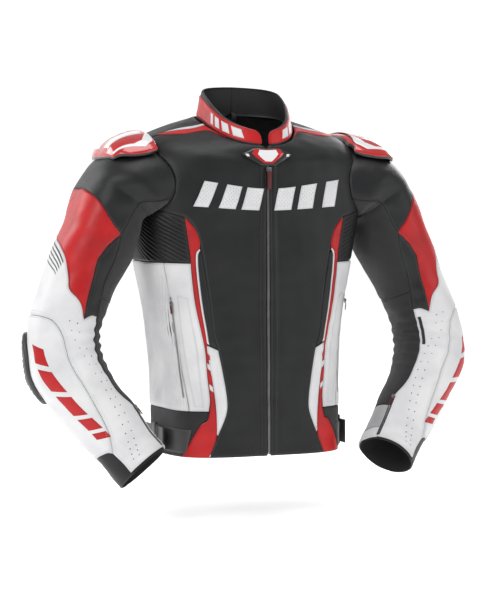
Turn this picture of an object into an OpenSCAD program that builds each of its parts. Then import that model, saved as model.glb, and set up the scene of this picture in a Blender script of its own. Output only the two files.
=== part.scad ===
// Leather riding jacket: an assembly of cut panels, stretch gussets, armour, sliders and zips.
// Design heights run up from the hem; the finished part hangs from the loop inside its collar.

/* [Torso] */
// Height of the collar seam above the hem, at the side of the neck
torso_h = 565; // [540:5:590]
// Half width at the hem
hem_w = 156; // [150:1:162]
// Half width at the waist
waist_w = 155; // [150:1:158]
// Half width at the chest
chest_w = 192; // [188:1:196]
// Half width of the collar seam
neck_w = 78; // [72:1:84]
// Distance of the front zip from the body's centre plane, at the hem
front_d = 127; // [124:1:130]

/* [Leather] */
// Thickness of the cut leather panels
leather_t = 1.4; // [1.2:0.1:1.6]
// Seam allowance left open between neighbouring panels, in degrees round the torso
seam_a = 0.5; // [0.4:0.1:0.7]
// Seam allowance left open along the height
seam_h = 1.2; // [1:0.1:1.5]

/* [Collar] */
// Height of the collar band at the back
collar_h = 37; // [30:1:42]
// How much lower the band is at the front
collar_drop = 13; // [8:1:16]

/* [Armour] */
// Height of the shoulder cup's dome
cup_rise = 12; // [8:0.5:14]
// Wall of the shoulder cup and the elbow slider
cup_t = 3; // [2.5:0.5:3.5]
// Height of the elbow slider's dome
slider_rise = 6; // [4:0.5:7]

/* [Zips] */
// Half width of the main zip's row of teeth
teeth_w = 2; // [1.5:0.1:2.2]
// Length of the main zip's pull
pull_l = 32; // [24:1:36]

/* [Hidden] */
$fn = 32;
eps = 0.02;

// Torso sections: height, tilt, front dip, half width, front depth, front squareness,
// back depth, back squareness, middle
TORSO = [
    [0, 0, 0, hem_w, front_d, 3.4, 118, 2.6, 0],
    [75, 0, 0, waist_w, front_d + 1, 3.4, 110, 2.6, 2],
    [150, 0, 0, waist_w, front_d + 12, 3.4, 98, 2.6, 14],
    [235, 0, 0, 166, front_d + 19, 3.4, 96, 2.6, 22],
    [315, 0, 3, 181, front_d + 16, 3.5, 106, 2.6, 20],
    [385, 0, 10, 190, front_d + 6, 3.7, 122, 2.6, 11],
    [440, 0, 22, chest_w, front_d - 3, 3.8, 128, 2.6, 2],
    [482, 0, 38, chest_w, front_d - 5.5, 3.4, 114, 2.6, 0],
    [512, 2, 50, 190, front_d - 6, 2.9, 102, 2.5, 0],
    [530, 4, 50, 176, front_d - 6, 2.5, 94, 2.4, 0],
    [543, 5, 50, 150, front_d - 9, 2.3, 84, 2.3, 0],
    [554, 6, 48, 116, front_d - 12, 2.2, 74, 2.2, 0],
    [torso_h, 6, 46, neck_w, front_d - 17, 2.1, 64, 2.1, 0],
];
HEIGHTS = [for (i = [0:len(TORSO) - 1]) [TORSO[i][0], i]];

// Sleeve rings from the shoulder to the cuff: centre x, y, z, half width, half depth,
// slant of the ring in degrees, squareness
SLEEVE = [
    [196, -8, 462, 66, 80, 60, 2.2],
    [240, -18, 419, 55, 84, 34, 2.8],
    [260, -26, 360, 60, 74, 27, 2.6],
    [298, -30, 285, 57, 64, 23, 2.2],
    [323, -42, 215, 58, 60, 8, 2.1],
    [324, -58, 155, 60, 60, -12, 2.1],
    [296, -76, 100, 55, 56, -28, 2.1],
    [262, -92, 56, 52, 52, -36, 2.1],
    [234, -106, 16, 50, 49, -38, 2.1],
    [214, -120, -10, 49, 48, -38, 2.1],
];

// Armhole: height of its middle, half height and half width in degrees round the torso
arm_mid = 460;
arm_half = 66;
arm_wide = 34;

// Seams, as height and angle from the front zip
FRONT_EDGE = [[0, 41], [36, 36], [72, 30.5], [97, 29.5], [138, 30.5], [180, 32.5], [203, 34.5],
    [260, 36], [340, 40.5], [382, 45], [400, 50], [408, 61]];
STRIPE_FRONT = [[0, 41], [36, 36.5], [80, 36.5], [122, 37], [176, 38.5], [190, 37.8], [211, 38.7],
    [260, 40.7], [330, 43], [345, 41.5], [360, 42], [382, 45], [400, 50]];
STRIPE_EDGE = [[0, 58], [16, 54], [54, 46], [64, 41.5], [97, 39.5], [130, 39.5], [176, 39.5],
    [211, 41], [260, 43.5], [323, 45.5], [351, 47], [400, 50]];
side_back = 126;

// Where the main zip's slider rests, and where the garment hangs from
slider_z = 470;
hang_y = 46;
hang_z = 562;

function lerp(a, b, k) = a + (b - a) * k;
function spow(x, e) = sign(x) * pow(abs(x), e);

// A row of a table between its stations, on a smooth curve through them
function row(tab, v) =
    let (n = len(tab), i = max(0, min(floor(v), n - 2)), f = v - i, p1 = tab[i], p2 = tab[i + 1],
        p0 = i > 0 ? tab[i - 1] : 2 * p1 - p2,
        p3 = i < n - 2 ? tab[i + 2] : 2 * p2 - p1)
    0.5 * (2 * p1 + (p2 - p0) * f + (2 * p0 - 5 * p1 + 4 * p2 - p3) * f * f
        + (3 * p1 - p0 - 3 * p2 + p3) * f * f * f);

// A point of the torso: angle from the zip towards the wearer's left, and height
function torso_pt(t, h) =
    let (s = row(TORSO, lookup(h, HEIGHTS)), c = cos(t), n = sin(t),
        b = c >= 0 ? s[4] : s[6], e = c >= 0 ? s[5] : s[7],
        r = pow(pow(abs(n) / s[3], e) + pow(abs(c) / b, e), -1 / e))
    [r * n, s[8] - r * c, s[0] - s[1] * c - s[2] * pow((1 + c) / 2, 3)];

// The armhole's seam on the torso; grow makes the loop larger
function arm_loop(q, grow = 0) =
    let (k = 1 + grow / arm_half, c = spow(cos(q), 0.8), s = spow(sin(q), 0.8))
    torso_pt(90 - arm_wide * k * s * (1 - 0.08 * cos(q)), arm_mid + (arm_half + grow) * c);

// The armhole's front edge at a height
function arm_edge(h) =
    let (c = spow(max(-1, min(1, (h - arm_mid) / arm_half)), 1.25),
        s = pow(sqrt(max(0, 1 - c * c)), 0.8))
    90 - arm_wide * s * (1 - 0.08 * c);

// The armhole's lower edge at an angle
function arm_low(t) =
    let (s = pow(min(1, abs(90 - t) / arm_wide), 1.25))
    arm_mid - arm_half * pow(sqrt(1 - s * s), 0.8);

// A point of a sleeve ring: angle from the outer side towards the front
function ring_pt(q, s) =
    let (c = row(SLEEVE, s), d = row(SLEEVE, s + eps) - row(SLEEVE, s - eps),
        outer = [cos(c[5]), 0, sin(c[5])], f = cross([d[0], d[1], d[2]], outer),
        front = f * (-sign(f[1])) / norm(f),
        w = spow(cos(q), 2 / c[6]) * c[3], k = spow(sin(q), 2 / c[6]) * c[4])
    [c[0], c[1], c[2]] + outer * w + front * k;

// A point of the sleeve: below 0 it runs on over the shoulder, up to 1 it is the sleeve head
function sleeve_pt(q, s) =
    s < 0 ? arm_loop(q, -36 * s)
    : s < 1 ? lerp(arm_loop(q), ring_pt(q, 1), s)
        + 4 * s * (1 - s) * (16 * pow((1 + cos(q)) / 2, 1.5) * [0.64, 0, 0.77] - 8 * [0, sin(q), 0])
    : ring_pt(q, s);

// A point of the collar: angle and share of the band's height
function collar_pt(t, v) =
    let (p = torso_pt(t, torso_h), h = collar_h - collar_drop * pow((1 + cos(t)) / 2, 2))
    [p[0] * (1 - 0.08 * v), lerp(p[1], -23, 0.08 * v), p[2] + h * v];

function unit(v) = v / norm(v);

// Moves a surface's point out along its normal
function lifted(f, u, v, off, du, dv) =
    f(u, v) + off * unit(cross(f(u + du, v) - f(u - du, v), f(u, v + dv) - f(u, v - dv)));
on_torso = function (u, v, off) lifted(function (a, b) torso_pt(a, b), u, v, off, 0.5, 1);
on_sleeve = function (u, v, off) lifted(function (a, b) sleeve_pt(a, b), u, v, off, 1, 0.02);
on_collar = function (u, v, off) lifted(function (a, b) collar_pt(a, b), u, v, off, 1, 0.02);

// Everything is drawn above the hem, then set with the hanging loop at the origin
module hung() { translate([0, -hang_y, -hang_z]) children(); }
module sided(side) { if (side > 0) children(); else mirror([1, 0, 0]) children(); }

// A closed panel of a surface. where(a, b) gives the surface's own coordinates for
// a up the panel and b across it; lo and hi are its inner and outer offsets
module panel(skin, where, n, m, lo = -leather_t, hi = 0) {
    w = m + 1;
    count = (n + 1) * w;
    points = [for (off = [hi, lo]) for (i = [0:n]) for (j = [0:m])
        let (p = where(i / n, j / m)) skin(p[0], p[1], off)];
    rim = concat([for (j = [0:m - 1]) j], [for (i = [0:n - 1]) i * w + m],
        [for (j = [m:-1:1]) n * w + j], [for (i = [n:-1:1]) i * w]);
    faces = concat(
        [for (i = [0:n - 1]) for (j = [0:m - 1]) let (a = i * w + j)
            for (f = [[a, a + w, a + 1], [a + 1, a + w, a + w + 1]]) f],
        [for (i = [0:n - 1]) for (j = [0:m - 1]) let (a = count + i * w + j)
            for (f = [[a, a + 1, a + w], [a + 1, a + w + 1, a + w]]) f],
        [for (k = [0:len(rim) - 1]) let (a = rim[k], b = rim[(k + 1) % len(rim)])
            for (f = [[a, b, a + count], [b, b + count, a + count]]) f]);
    polyhedron(points, faces);
}

// A closed ring of a surface, all the way round from lower to upper
module band(skin, from, to, n, m, lo = -leather_t, hi = 0) {
    count = (n + 1) * m;
    points = [for (off = [hi, lo]) for (i = [0:n]) for (j = [0:m - 1])
        skin(360 * j / m, lerp(from, to, i / n), off)];
    faces = concat(
        [for (i = [0:n - 1]) for (j = [0:m - 1])
            let (a = i * m + j, b = i * m + (j + 1) % m)
            for (f = [[a, a + m, b], [b, a + m, b + m]]) f],
        [for (i = [0:n - 1]) for (j = [0:m - 1])
            let (a = count + i * m + j, b = count + i * m + (j + 1) % m)
            for (f = [[a, b, a + m], [b, b + m, a + m]]) f],
        [for (j = [0:m - 1]) let (a = j, b = (j + 1) % m)
            for (f = [[a, b, a + count], [b, b + count, a + count]]) f],
        [for (j = [0:m - 1]) let (a = n * m + j, b = n * m + (j + 1) % m)
            for (f = [[a, a + count, b], [b, a + count, b + count]]) f]);
    polyhedron(points, faces);
}

// A torso panel between two heights and two seams, given as functions of the height
module torso_panel(h0, h1, left, right, n, m, lo = -leather_t, hi = 0) {
    panel(on_torso, function (a, b) let (h = lerp(h0 + seam_h, h1 - seam_h, a))
        [lerp(left(h) + seam_a, right(h) - seam_a, b), h], n, m, lo, hi);
}

// A sleeve panel between two rings and two seams, given as functions of the ring number
module sleeve_panel(s0, s1, left, right, n, m, lo = -leather_t, hi = 0) {
    panel(on_sleeve, function (a, b) let (s = lerp(s0, s1, a))
        [lerp(left(s) + 1, right(s) - 1, b), s], n, m, lo, hi);
}

// Torso: front
module front_panel(side) color("#1d1d1f") hung() sided(side) {
    edge = function (h) h < 408 ? lookup(h, FRONT_EDGE) : h < 524 ? arm_edge(h)
        : lerp(86, 70, (h - 524) / (torso_h - 524));
    torso_panel(0, torso_h, function (h) 1.3, edge, 22, 7);
}
module dark_inserts() color("#2a2a2d") hung() for (side = [-1, 1]) sided(side)
    torso_panel(184, 328, function (h) lookup(h, FRONT_EDGE), function (h) lookup(h, STRIPE_FRONT),
        8, 1);
module white_crescents() color("#f0f0ee") hung() for (side = [-1, 1]) sided(side)
    torso_panel(44, 178, function (h) lookup(h, FRONT_EDGE),
        function (h) lookup(h, STRIPE_FRONT), 8, 2);
module red_stripe(side) color("#b3202a") hung() sided(side)
    torso_panel(0, 396, function (h) lookup(h, STRIPE_FRONT),
        function (h) lookup(h, STRIPE_EDGE) + 0.8, 22, 2);

// Torso: sides
module side_panel(side) color("#f0f0ee") hung() sided(side)
    torso_panel(77, 320, function (h) lookup(h, STRIPE_EDGE) + 0.8, function (h) side_back, 8, 6);
module underarm_stretch(side) color("#141416") hung() sided(side)
    panel(on_torso, function (a, b)
        let (t = lerp(50, side_back, b), top = min(arm_low(t) - 2, t < 90 ? 398.5 + 0.7 * (t - 50) : 402.5),
            h = lerp(320 + seam_h, top, a))
        [lerp(lookup(h, STRIPE_EDGE) + 0.8 + seam_a, side_back - seam_a, b), h], 4, 9);
module waist_panel(side) color("#161618") hung() sided(side)
    torso_panel(0, 77, function (h) lookup(h, STRIPE_EDGE) + 0.8, function (h) side_back, 4, 6);

// Torso: back
module back_yoke(side) color("#1d1d1f") hung() sided(side) {
    edge = function (h) h < 524 ? 180 - arm_edge(max(h, 404)) : lerp(86, 70, (h - 524) / (torso_h - 524));
    torso_panel(404, torso_h, edge, function (h) 180, 10, 7);
}
module back_panel() color("#1d1d1f") hung()
    torso_panel(130, 404, function (h) side_back, function (h) 360 - side_back, 6, 8);
module back_stretch() color("#141416") hung()
    torso_panel(0, 130, function (h) side_back, function (h) 360 - side_back, 4, 8);

// Trim laid on the leather
module shoulder_chevrons() color("#b3202a") hung() for (side = [-1, 1]) sided(side) {
    upper = [[0, 69], [0.45, 75], [1, 79.5]];
    lower = [[0, 38], [0.45, 62], [1, 78]];
    top = [[0, 561], [0.45, 548], [1, 541.5]];
    bottom = [[0, 561], [0.45, 554], [1, 540]];
    panel(on_torso, function (a, b) [lerp(lookup(1 - b, lower), lookup(1 - b, upper), 1 - a) ,
        lerp(lookup(1 - b, bottom), lookup(1 - b, top), 1 - a)], 2, 6, 1.2, 2.2);
}
module zip_badge() color("#232326") hung()
    panel(on_torso, function (a, b) let (h = lerp(531, 557, a), w = h < 544 ? lerp(3, 20, (h - 531) / 13)
        : lerp(20, 9, (h - 544) / 13)) [lerp(-w, w, b), h], 4, 6, 1.5, 4);
module chest_bars() color("#f0f0ee") hung()
    for (bar = [[-43.5, 3.5], [-29.5, 5], [-14, 6.5], [11, 6.5], [27, 5], [41.5, 3.5]])
        panel(on_torso, function (a, b) [bar[0] + bar[1] * (2 * b - 1) + 4 * a, lerp(420, 474, a)],
            3, 2, 1.3, 2.2);

// Collar
module collar_band() color("#b3202a") hung()
    panel(on_collar, function (a, b) [lerp(3, 357, b), lerp(0.05, 1, a)], 2, 28);

// Main zip
module zip_tapes() color("#1a1a1c") hung() for (side = [-1, 1]) sided(side)
    torso_panel(2, 560, function (h) 0.7, function (h) 6, 14, 1, -3.6, -2.4);
module zip_teeth() color("#8a8a8e") hung()
    torso_panel(3, 548, function (h) -seam_a - asin(teeth_w / front_d),
        function (h) seam_a + asin(teeth_w / front_d), 14, 1, -2.2, -0.2);

// A slider's body with two lugs, and the pin between them that the pull hangs on
pin_out = 5.2;
module zip_body(w, l) {
    translate([-w / 2, -3.4, -l / 2]) cube([w, 2.6, l]);
    for (x = [-w / 2 + 1, w / 2 - 2.2]) translate([x, -pin_out - 1.2, -2.4]) cube([1.2, pin_out - 2, 4.8]);
    translate([-w / 2 + 1.5, -pin_out, 0]) rotate([0, 90, 0]) cylinder(r = 0.6, h = w - 3);
}
// A pull: a plate with a rounded end, and the eye that turns on the pin
module zip_plate(w, l) difference() {
    union() {
        translate([0, 0, w / 2 - l]) rotate([90, 0, 0]) cylinder(r = w / 2, h = 1.6, center = true);
        translate([-w / 2, -0.8, w / 2 - l]) cube([w, 1.6, l - w / 2 - 6]);
        translate([-w / 4, -0.8, -6.5]) cube([w / 2, 1.6, 6.5]);
        rotate([0, 90, 0]) cylinder(r = 1.6, h = w / 2, center = true);
    }
    rotate([0, 90, 0]) cylinder(r = 0.68, h = w, center = true);
    translate([0, 0, w / 2 - l]) rotate([90, 0, 0]) cylinder(r = w / 5, h = 2, center = true);
}
front_at = torso_pt(0, 523);
module zip_slider() color("#4a4a4e") hung() translate([0, front_at[1], slider_z]) zip_body(9, 12);
module zip_pull() color("#5d1418") hung() translate([0, front_at[1] - pin_out, slider_z])
    zip_plate(7, pull_l);

// Inside
module torso_lining() color("#3a3a3e") hung() {
    band(on_torso, 4, 388, 6, 24, -7, -5.8);
    panel(on_collar, function (a, b) [lerp(6, 354, b), lerp(-0.1, 1.16, a)], 2, 24, -3.6, -2.4);
}
module back_protector() color("#c9a227") hung()
    panel(on_torso, function (a, b) [180 + 34 * (1 - 0.3 * a) * (2 * b - 1), lerp(90, 480, a)],
        5, 4, -20, -9);
module hanger_loop() color("#202022") hung() translate([0, hang_y, hang_z]) {
    rotate([0, 90, 0]) difference() {
        cylinder(r = 9, h = 8, center = true);
        cylinder(r = 7.6, h = 9, center = true);
    }
    translate([-4, 7.2, 4.6]) cube([8, 7.2, 3]);
}
module connection_zip() color("#8a8a8e") hung()
    torso_panel(14, 26, function (h) 140, function (h) 220, 1, 8, -10, -8);

// Waist adjusters
strap_x = hem_w + 6;
module waist_strap(side) color("#2c2c30") hung() sided(side)
    translate([strap_x, -66, 8]) cube([2, 96, 40]);
module waist_buckles() color("#1b1b1d") hung() for (side = [-1, 1]) sided(side)
    translate([hem_w + 0.1, -34, 3]) difference() {
        cube([11, 12, 50]);
        translate([5, -1, 3]) cube([4, 14, 44]);
    }

// Hand pockets: a welt on the side panel, and the slider that runs along it
module pocket_welts() color("#d8d8d6") hung() for (side = [-1, 1]) sided(side)
    torso_panel(104, 270, function (h) 53.5, function (h) 57.5, 5, 1, 0.8, 2);

// Sets its children on a skin, their -y side outwards and their -z side along the way to go
module laid_on(at, out, way) {
    z = -unit(way);
    x = unit(cross(z, out));
    y = cross(z, x);
    multmatrix([[x[0], y[0], z[0], at[0]], [x[1], y[1], z[1], at[1]], [x[2], y[2], z[2], at[2]]])
        children();
}
module small_slider() {
    translate([-2.5, -3, -4]) cube([5, 3, 8]);
    translate([-1.5, -4, -18]) cube([3, 1, 18]);
}
pocket_high = on_torso(56, 262, 0);
pocket_low = on_torso(54, 110, 0);
module pocket_slider(side) color("#4a4a4e") hung() sided(side)
    laid_on(on_torso(56, 252, 2.7), on_torso(56, 252, 1) - on_torso(56, 252, 0),
        pocket_low - pocket_high) small_slider();

// Sleeves, drawn for the wearer's left
module sleeve_head(side) color("#1d1d1f") hung() sided(side)
    band(on_sleeve, 0.06, 0.97, 4, 20);
biceps_front = [[1, 20], [1.6, 70], [2.1, 76], [2.4, 55], [3.2, 46], [4, 40]];
biceps_back = [[1, 10], [1.5, -30], [2.5, -20], [3.2, 5], [4, 30]];
module biceps_panel(side) color("#b3202a") hung() sided(side)
    sleeve_panel(1.05, 3.9, function (s) lookup(s, biceps_back), function (s) lookup(s, biceps_front),
        9, 3);
module upper_sleeve(side) color("#1d1d1f") hung() sided(side)
    sleeve_panel(1.02, 3.95, function (s) -140, function (s) lookup(s, biceps_back), 8, 8);
module sleeve_stretch(side) color("#121214") hung() sided(side)
    sleeve_panel(1.02, 3.95, function (s) lookup(s, biceps_front), function (s) 220, 8, 7);
module elbow_stretch(side) color("#f0f0ee") hung() sided(side)
    band(on_sleeve, 3.99, 4.96, 4, 20);
module forearm_panel(side) color("#f0f0ee") hung() sided(side)
    sleeve_panel(5, 8.6, function (s) -120, function (s) 118, 8, 9);
module forearm_stretch(side) color("#121214") hung() sided(side)
    sleeve_panel(5, 8.6, function (s) 118, function (s) 240, 8, 5);
module cuff_gusset(side) color("#161618") hung() sided(side)
    band(on_sleeve, 8.63, 9, 2, 20);

// Armour on the sleeves: shells that stand off the leather, and the pads inside it
function dome(a, b) = (1 - pow(2 * a - 1, 4)) * (1 - pow(abs(2 * b - 1), 2.8));
module shoulder_cup(side) color("#c01820") hung() sided(side) {
    where = function (a, b) [4 + 40 * (2 * b - 1) * (0.66 + 0.34 * sin(180 * a)), lerp(-0.2, 0.6, a)];
    cup = function (a, b, off) on_sleeve(where(a, b)[0], where(a, b)[1], off + 2 + cup_rise * dome(a, b));
    panel(cup, function (a, b) [a, b], 8, 6, 0, cup_t);
}
module elbow_slider(side) color("#3b3b40") hung() sided(side) {
    cup = function (a, b, off) on_sleeve(-32 + 30 * (2 * b - 1) * (1 - 0.3 * pow(2 * a - 1, 2)),
        lerp(4.13, 5.6, a), off + 2.7 + slider_rise * dome(a, b));
    panel(cup, function (a, b) [a, b], 6, 6, 0, cup_t);
}
module shoulder_pad(side) color("#c9a227") hung() sided(side)
    sleeve_panel(1.1, 1.7, function (s) -38, function (s) 38, 3, 6, -15, -7);
module elbow_pad(side) color("#c9a227") hung() sided(side)
    sleeve_panel(5.05, 6.6, function (s) -45, function (s) 35, 4, 5, -12, -4);

// Cuff zips along the inner forearm
cuff_high = on_sleeve(150, 7, 0);
cuff_low = on_sleeve(150, 8.5, 0);
module cuff_slider(side) color("#4a4a4e") hung() sided(side)
    laid_on(on_sleeve(150, 7, 1.4), on_sleeve(150, 7, 1) - cuff_high, cuff_low - cuff_high)
        small_slider();

front_panel(1);  // front_panel_L
front_panel(-1);  // front_panel_R
dark_inserts();
white_crescents();
red_stripe(1);  // red_stripe_L
red_stripe(-1);  // red_stripe_R
side_panel(1);  // side_panel_L
side_panel(-1);  // side_panel_R
underarm_stretch(1);  // underarm_stretch_L
underarm_stretch(-1);  // underarm_stretch_R
waist_panel(1);  // waist_panel_L
waist_panel(-1);  // waist_panel_R
back_yoke(1);  // back_yoke_L
back_yoke(-1);  // back_yoke_R
back_panel();
back_stretch();
shoulder_chevrons();
collar_band();
zip_badge();
chest_bars();
zip_tapes();
zip_teeth();
zip_slider();
zip_pull();
torso_lining();
back_protector();
hanger_loop();
connection_zip();
waist_strap(1);  // waist_strap_L
waist_strap(-1);  // waist_strap_R
waist_buckles();
pocket_welts();
pocket_slider(1);  // pocket_slider_L
pocket_slider(-1);  // pocket_slider_R
sleeve_head(1);  // sleeve_head_L
sleeve_head(-1);  // sleeve_head_R
upper_sleeve(1);  // upper_sleeve_L
upper_sleeve(-1);  // upper_sleeve_R
biceps_panel(1);  // biceps_panel_L
biceps_panel(-1);  // biceps_panel_R
sleeve_stretch(1);  // sleeve_stretch_L
sleeve_stretch(-1);  // sleeve_stretch_R
elbow_stretch(1);  // elbow_stretch_L
elbow_stretch(-1);  // elbow_stretch_R
forearm_panel(1);  // forearm_panel_L
forearm_panel(-1);  // forearm_panel_R
forearm_stretch(1);  // forearm_stretch_L
forearm_stretch(-1);  // forearm_stretch_R
cuff_gusset(1);  // cuff_gusset_L
cuff_gusset(-1);  // cuff_gusset_R
cuff_slider(1);  // cuff_slider_L
cuff_slider(-1);  // cuff_slider_R
shoulder_cup(1);  // shoulder_cup_L
shoulder_cup(-1);  // shoulder_cup_R
elbow_slider(1);  // elbow_slider_L
elbow_slider(-1);  // elbow_slider_R
shoulder_pad(1);  // shoulder_pad_L
shoulder_pad(-1);  // shoulder_pad_R
elbow_pad(1);  // elbow_pad_L
elbow_pad(-1);  // elbow_pad_R
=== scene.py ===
import bpy
import numpy as np
from mathutils import Vector, Matrix
from mathutils.geometry import delaunay_2d_cdt


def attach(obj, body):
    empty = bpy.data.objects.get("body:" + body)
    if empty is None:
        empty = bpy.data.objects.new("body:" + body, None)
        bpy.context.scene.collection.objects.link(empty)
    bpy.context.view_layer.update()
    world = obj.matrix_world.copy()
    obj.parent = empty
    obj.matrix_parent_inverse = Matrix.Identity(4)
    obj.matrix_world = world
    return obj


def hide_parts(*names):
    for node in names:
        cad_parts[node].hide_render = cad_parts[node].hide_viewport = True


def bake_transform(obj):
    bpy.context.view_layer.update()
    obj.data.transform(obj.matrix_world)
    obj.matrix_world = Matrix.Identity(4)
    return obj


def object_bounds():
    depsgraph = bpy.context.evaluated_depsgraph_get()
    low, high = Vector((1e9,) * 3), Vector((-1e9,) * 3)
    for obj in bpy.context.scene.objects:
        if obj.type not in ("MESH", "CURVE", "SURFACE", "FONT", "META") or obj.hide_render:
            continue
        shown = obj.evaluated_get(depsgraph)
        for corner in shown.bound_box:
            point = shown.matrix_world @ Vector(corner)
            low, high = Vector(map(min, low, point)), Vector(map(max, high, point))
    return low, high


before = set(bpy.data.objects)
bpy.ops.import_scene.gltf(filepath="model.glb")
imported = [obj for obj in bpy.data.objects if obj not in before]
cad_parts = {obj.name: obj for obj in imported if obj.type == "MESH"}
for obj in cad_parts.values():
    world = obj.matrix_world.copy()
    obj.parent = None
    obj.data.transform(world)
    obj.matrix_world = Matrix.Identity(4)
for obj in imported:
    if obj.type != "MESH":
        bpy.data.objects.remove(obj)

cad_box = [list(corner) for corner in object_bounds()]

# ---------------------------------------------------------------- Studio
# A pale floor that curves up behind the jacket, soft lights, and the camera,
# a little to the wearer's right of the zip and just above the waist.
MM = 0.001
MIDDLE = Vector((0, -0.046, -0.300))
turn, rise, away = np.radians(-21), np.radians(3), 3.2
back = Vector((np.sin(turn) * np.cos(rise), -np.cos(turn) * np.cos(rise), np.sin(rise)))
right = Vector((np.cos(turn), np.sin(turn), 0))
above = back.cross(right)
camera = bpy.data.objects.new("camera", bpy.data.cameras.new("camera"))
camera.data.lens, camera.data.sensor_width = 112.9, 36
camera.location = MIDDLE + back * away + right * 0.0136 - above * 0.0102
camera.rotation_euler = back.to_track_quat("Z", "Y").to_euler()
bpy.context.collection.objects.link(camera)
bpy.context.scene.camera = camera

FLOOR_Z, WALL_Y, BEND = cad_box[0][2] - 0.06, 5.5, 1.8
profile = [(-9.0, FLOOR_Z), (WALL_Y - BEND, FLOOR_Z)]
profile += [(WALL_Y - BEND + BEND * np.sin(a), FLOOR_Z + BEND - BEND * np.cos(a))
            for a in np.radians(np.arange(9, 91, 9))]
profile += [(WALL_Y, FLOOR_Z + 4.5)]
corners = [(x, y, z) for y, z in profile for x in (-9, 9)]
quads = [(2 * i, 2 * i + 1, 2 * i + 3, 2 * i + 2) for i in range(len(profile) - 1)]
sweep = bpy.data.meshes.new("studio_sweep")
sweep.from_pydata(corners, [], quads)
sweep.shade_smooth()
studio = bpy.data.objects.new("studio_sweep", sweep)
bpy.context.collection.objects.link(studio)
paper = bpy.data.materials.new("pale_paper")
paper.use_nodes = True
paper.node_tree.nodes["Principled BSDF"].inputs["Base Color"].default_value = (0.98, 0.98, 0.98, 1)
paper.node_tree.nodes["Principled BSDF"].inputs["Roughness"].default_value = 0.9
paper.node_tree.nodes["Principled BSDF"].inputs["Emission Color"].default_value = (1, 1, 1, 1)
paper.node_tree.nodes["Principled BSDF"].inputs["Emission Strength"].default_value = 0.42
sweep.materials.append(paper)

LIGHTS = [("key", (-2.3, -1.7, 1.4), 1.1, 34), ("fill", (2.2, -1.8, 0.6), 1.4, 12),
          ("top", (0.1, -0.3, 2.2), 1.4, 22), ("rim", (-1.7, 1.3, 0.9), 1.0, 16),
          ("rim_far", (1.7, 1.3, 0.7), 1.0, 16)]
for label, place, size, power in LIGHTS:
    lamp = bpy.data.lights.new(label, "AREA")
    lamp.energy, lamp.size = power, size
    holder = bpy.data.objects.new(label, lamp)
    holder.location = place
    holder.rotation_euler = (Vector(place) - MIDDLE).to_track_quat("Z", "Y").to_euler()
    bpy.context.collection.objects.link(holder)
world = bpy.data.worlds.new("studio_air")
world.use_nodes = True
world.node_tree.nodes["Background"].inputs["Color"].default_value = (1, 1, 1, 1)
world.node_tree.nodes["Background"].inputs["Strength"].default_value = 0.42
bpy.context.scene.world = world
bpy.context.scene.view_settings.view_transform = "Standard"

# ---------------------------------------------------------------- Torso lining
# The body's own shape: sections from the hem to the collar seam, in millimetres, and a
# loose mesh lining that follows it from the hem up into the collar.
HANG = np.array([0.0, 46.0, 562.0])
# height, tilt, front dip, half width, front depth, its squareness, back depth, its squareness, middle
TORSO = np.array([
    [0, 0, 0, 156, 127, 3.4, 118, 2.6, 0], [75, 0, 0, 155, 128, 3.4, 110, 2.6, 2],
    [150, 0, 0, 155, 139, 3.4, 98, 2.6, 14], [235, 0, 0, 166, 146, 3.4, 96, 2.6, 22],
    [315, 0, 3, 181, 143, 3.5, 106, 2.6, 20], [385, 0, 10, 190, 133, 3.7, 122, 2.6, 11],
    [440, 0, 22, 192, 124, 3.8, 128, 2.6, 2], [482, 0, 38, 192, 121.5, 3.4, 114, 2.6, 0],
    [512, 2, 50, 190, 121, 2.9, 102, 2.5, 0], [530, 4, 50, 176, 121, 2.5, 94, 2.4, 0],
    [543, 5, 50, 150, 118, 2.3, 84, 2.3, 0], [554, 6, 48, 116, 115, 2.2, 74, 2.2, 0],
    [565, 6, 46, 78, 110, 2.1, 64, 2.1, 0]])
NECK_H = 565


def rows(table, v):
    v = np.asarray(v, float)
    n = len(table)
    i = np.clip(np.floor(v), 0, n - 2).astype(int)
    f = (v - i)[..., None]
    b, c = table[i], table[i + 1]
    a = np.where((i > 0)[..., None], table[np.maximum(i - 1, 0)], 2 * b - c)
    d = np.where((i < n - 2)[..., None], table[np.minimum(i + 2, n - 1)], 2 * c - b)
    return 0.5 * (2 * b + (c - a) * f + (2 * a - 5 * b + 4 * c - d) * f * f
                  + (3 * b - a - 3 * c + d) * f ** 3)


def spow(x, e):
    return np.sign(x) * np.abs(x) ** e


def waves(p, seed, size, depth):
    """Gentle unevenness of a sewn hide, the same across a seam: a sum of long waves."""
    draw = np.random.default_rng(seed)
    total = 0
    for _ in range(8):
        way = draw.normal(size=3)
        way /= np.linalg.norm(way)
        total = total + np.sin(p @ way * 2 * np.pi / (size * draw.uniform(0.6, 1.5)) + draw.uniform(0, 6.3))
    return depth * total / 2.8


def torso(t, h):
    t, h = np.broadcast_arrays(np.radians(np.asarray(t, float)), np.asarray(h, float))
    q = rows(TORSO, np.interp(h, TORSO[:, 0], np.arange(len(TORSO))))
    c, n = np.cos(t), np.sin(t)
    depth = np.where(c >= 0, q[..., 4], q[..., 6])
    e = np.where(c >= 0, q[..., 5], q[..., 7])
    r = ((np.abs(n) / q[..., 3]) ** e + (np.abs(c) / depth) ** e) ** (-1 / e)
    return np.stack([r * n, q[..., 8] - r * c, q[..., 0] - q[..., 1] * c - q[..., 2] * ((1 + c) / 2) ** 3], -1)


def skin_of(surface, du, dv, uneven):
    """A surface that also takes a distance off it: f(u, v, off) in design millimetres."""
    def skin(u, v, off=0.0):
        p = surface(u, v)
        n = np.cross(surface(u + du, v) - surface(u - du, v), surface(u, v + dv) - surface(u, v - dv))
        n /= np.linalg.norm(n, axis=-1, keepdims=True) + 1e-12
        lift = np.asarray(off, float)[..., None] + uneven(p, u, v)[..., None]
        return p + n * lift, n
    return skin


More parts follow.
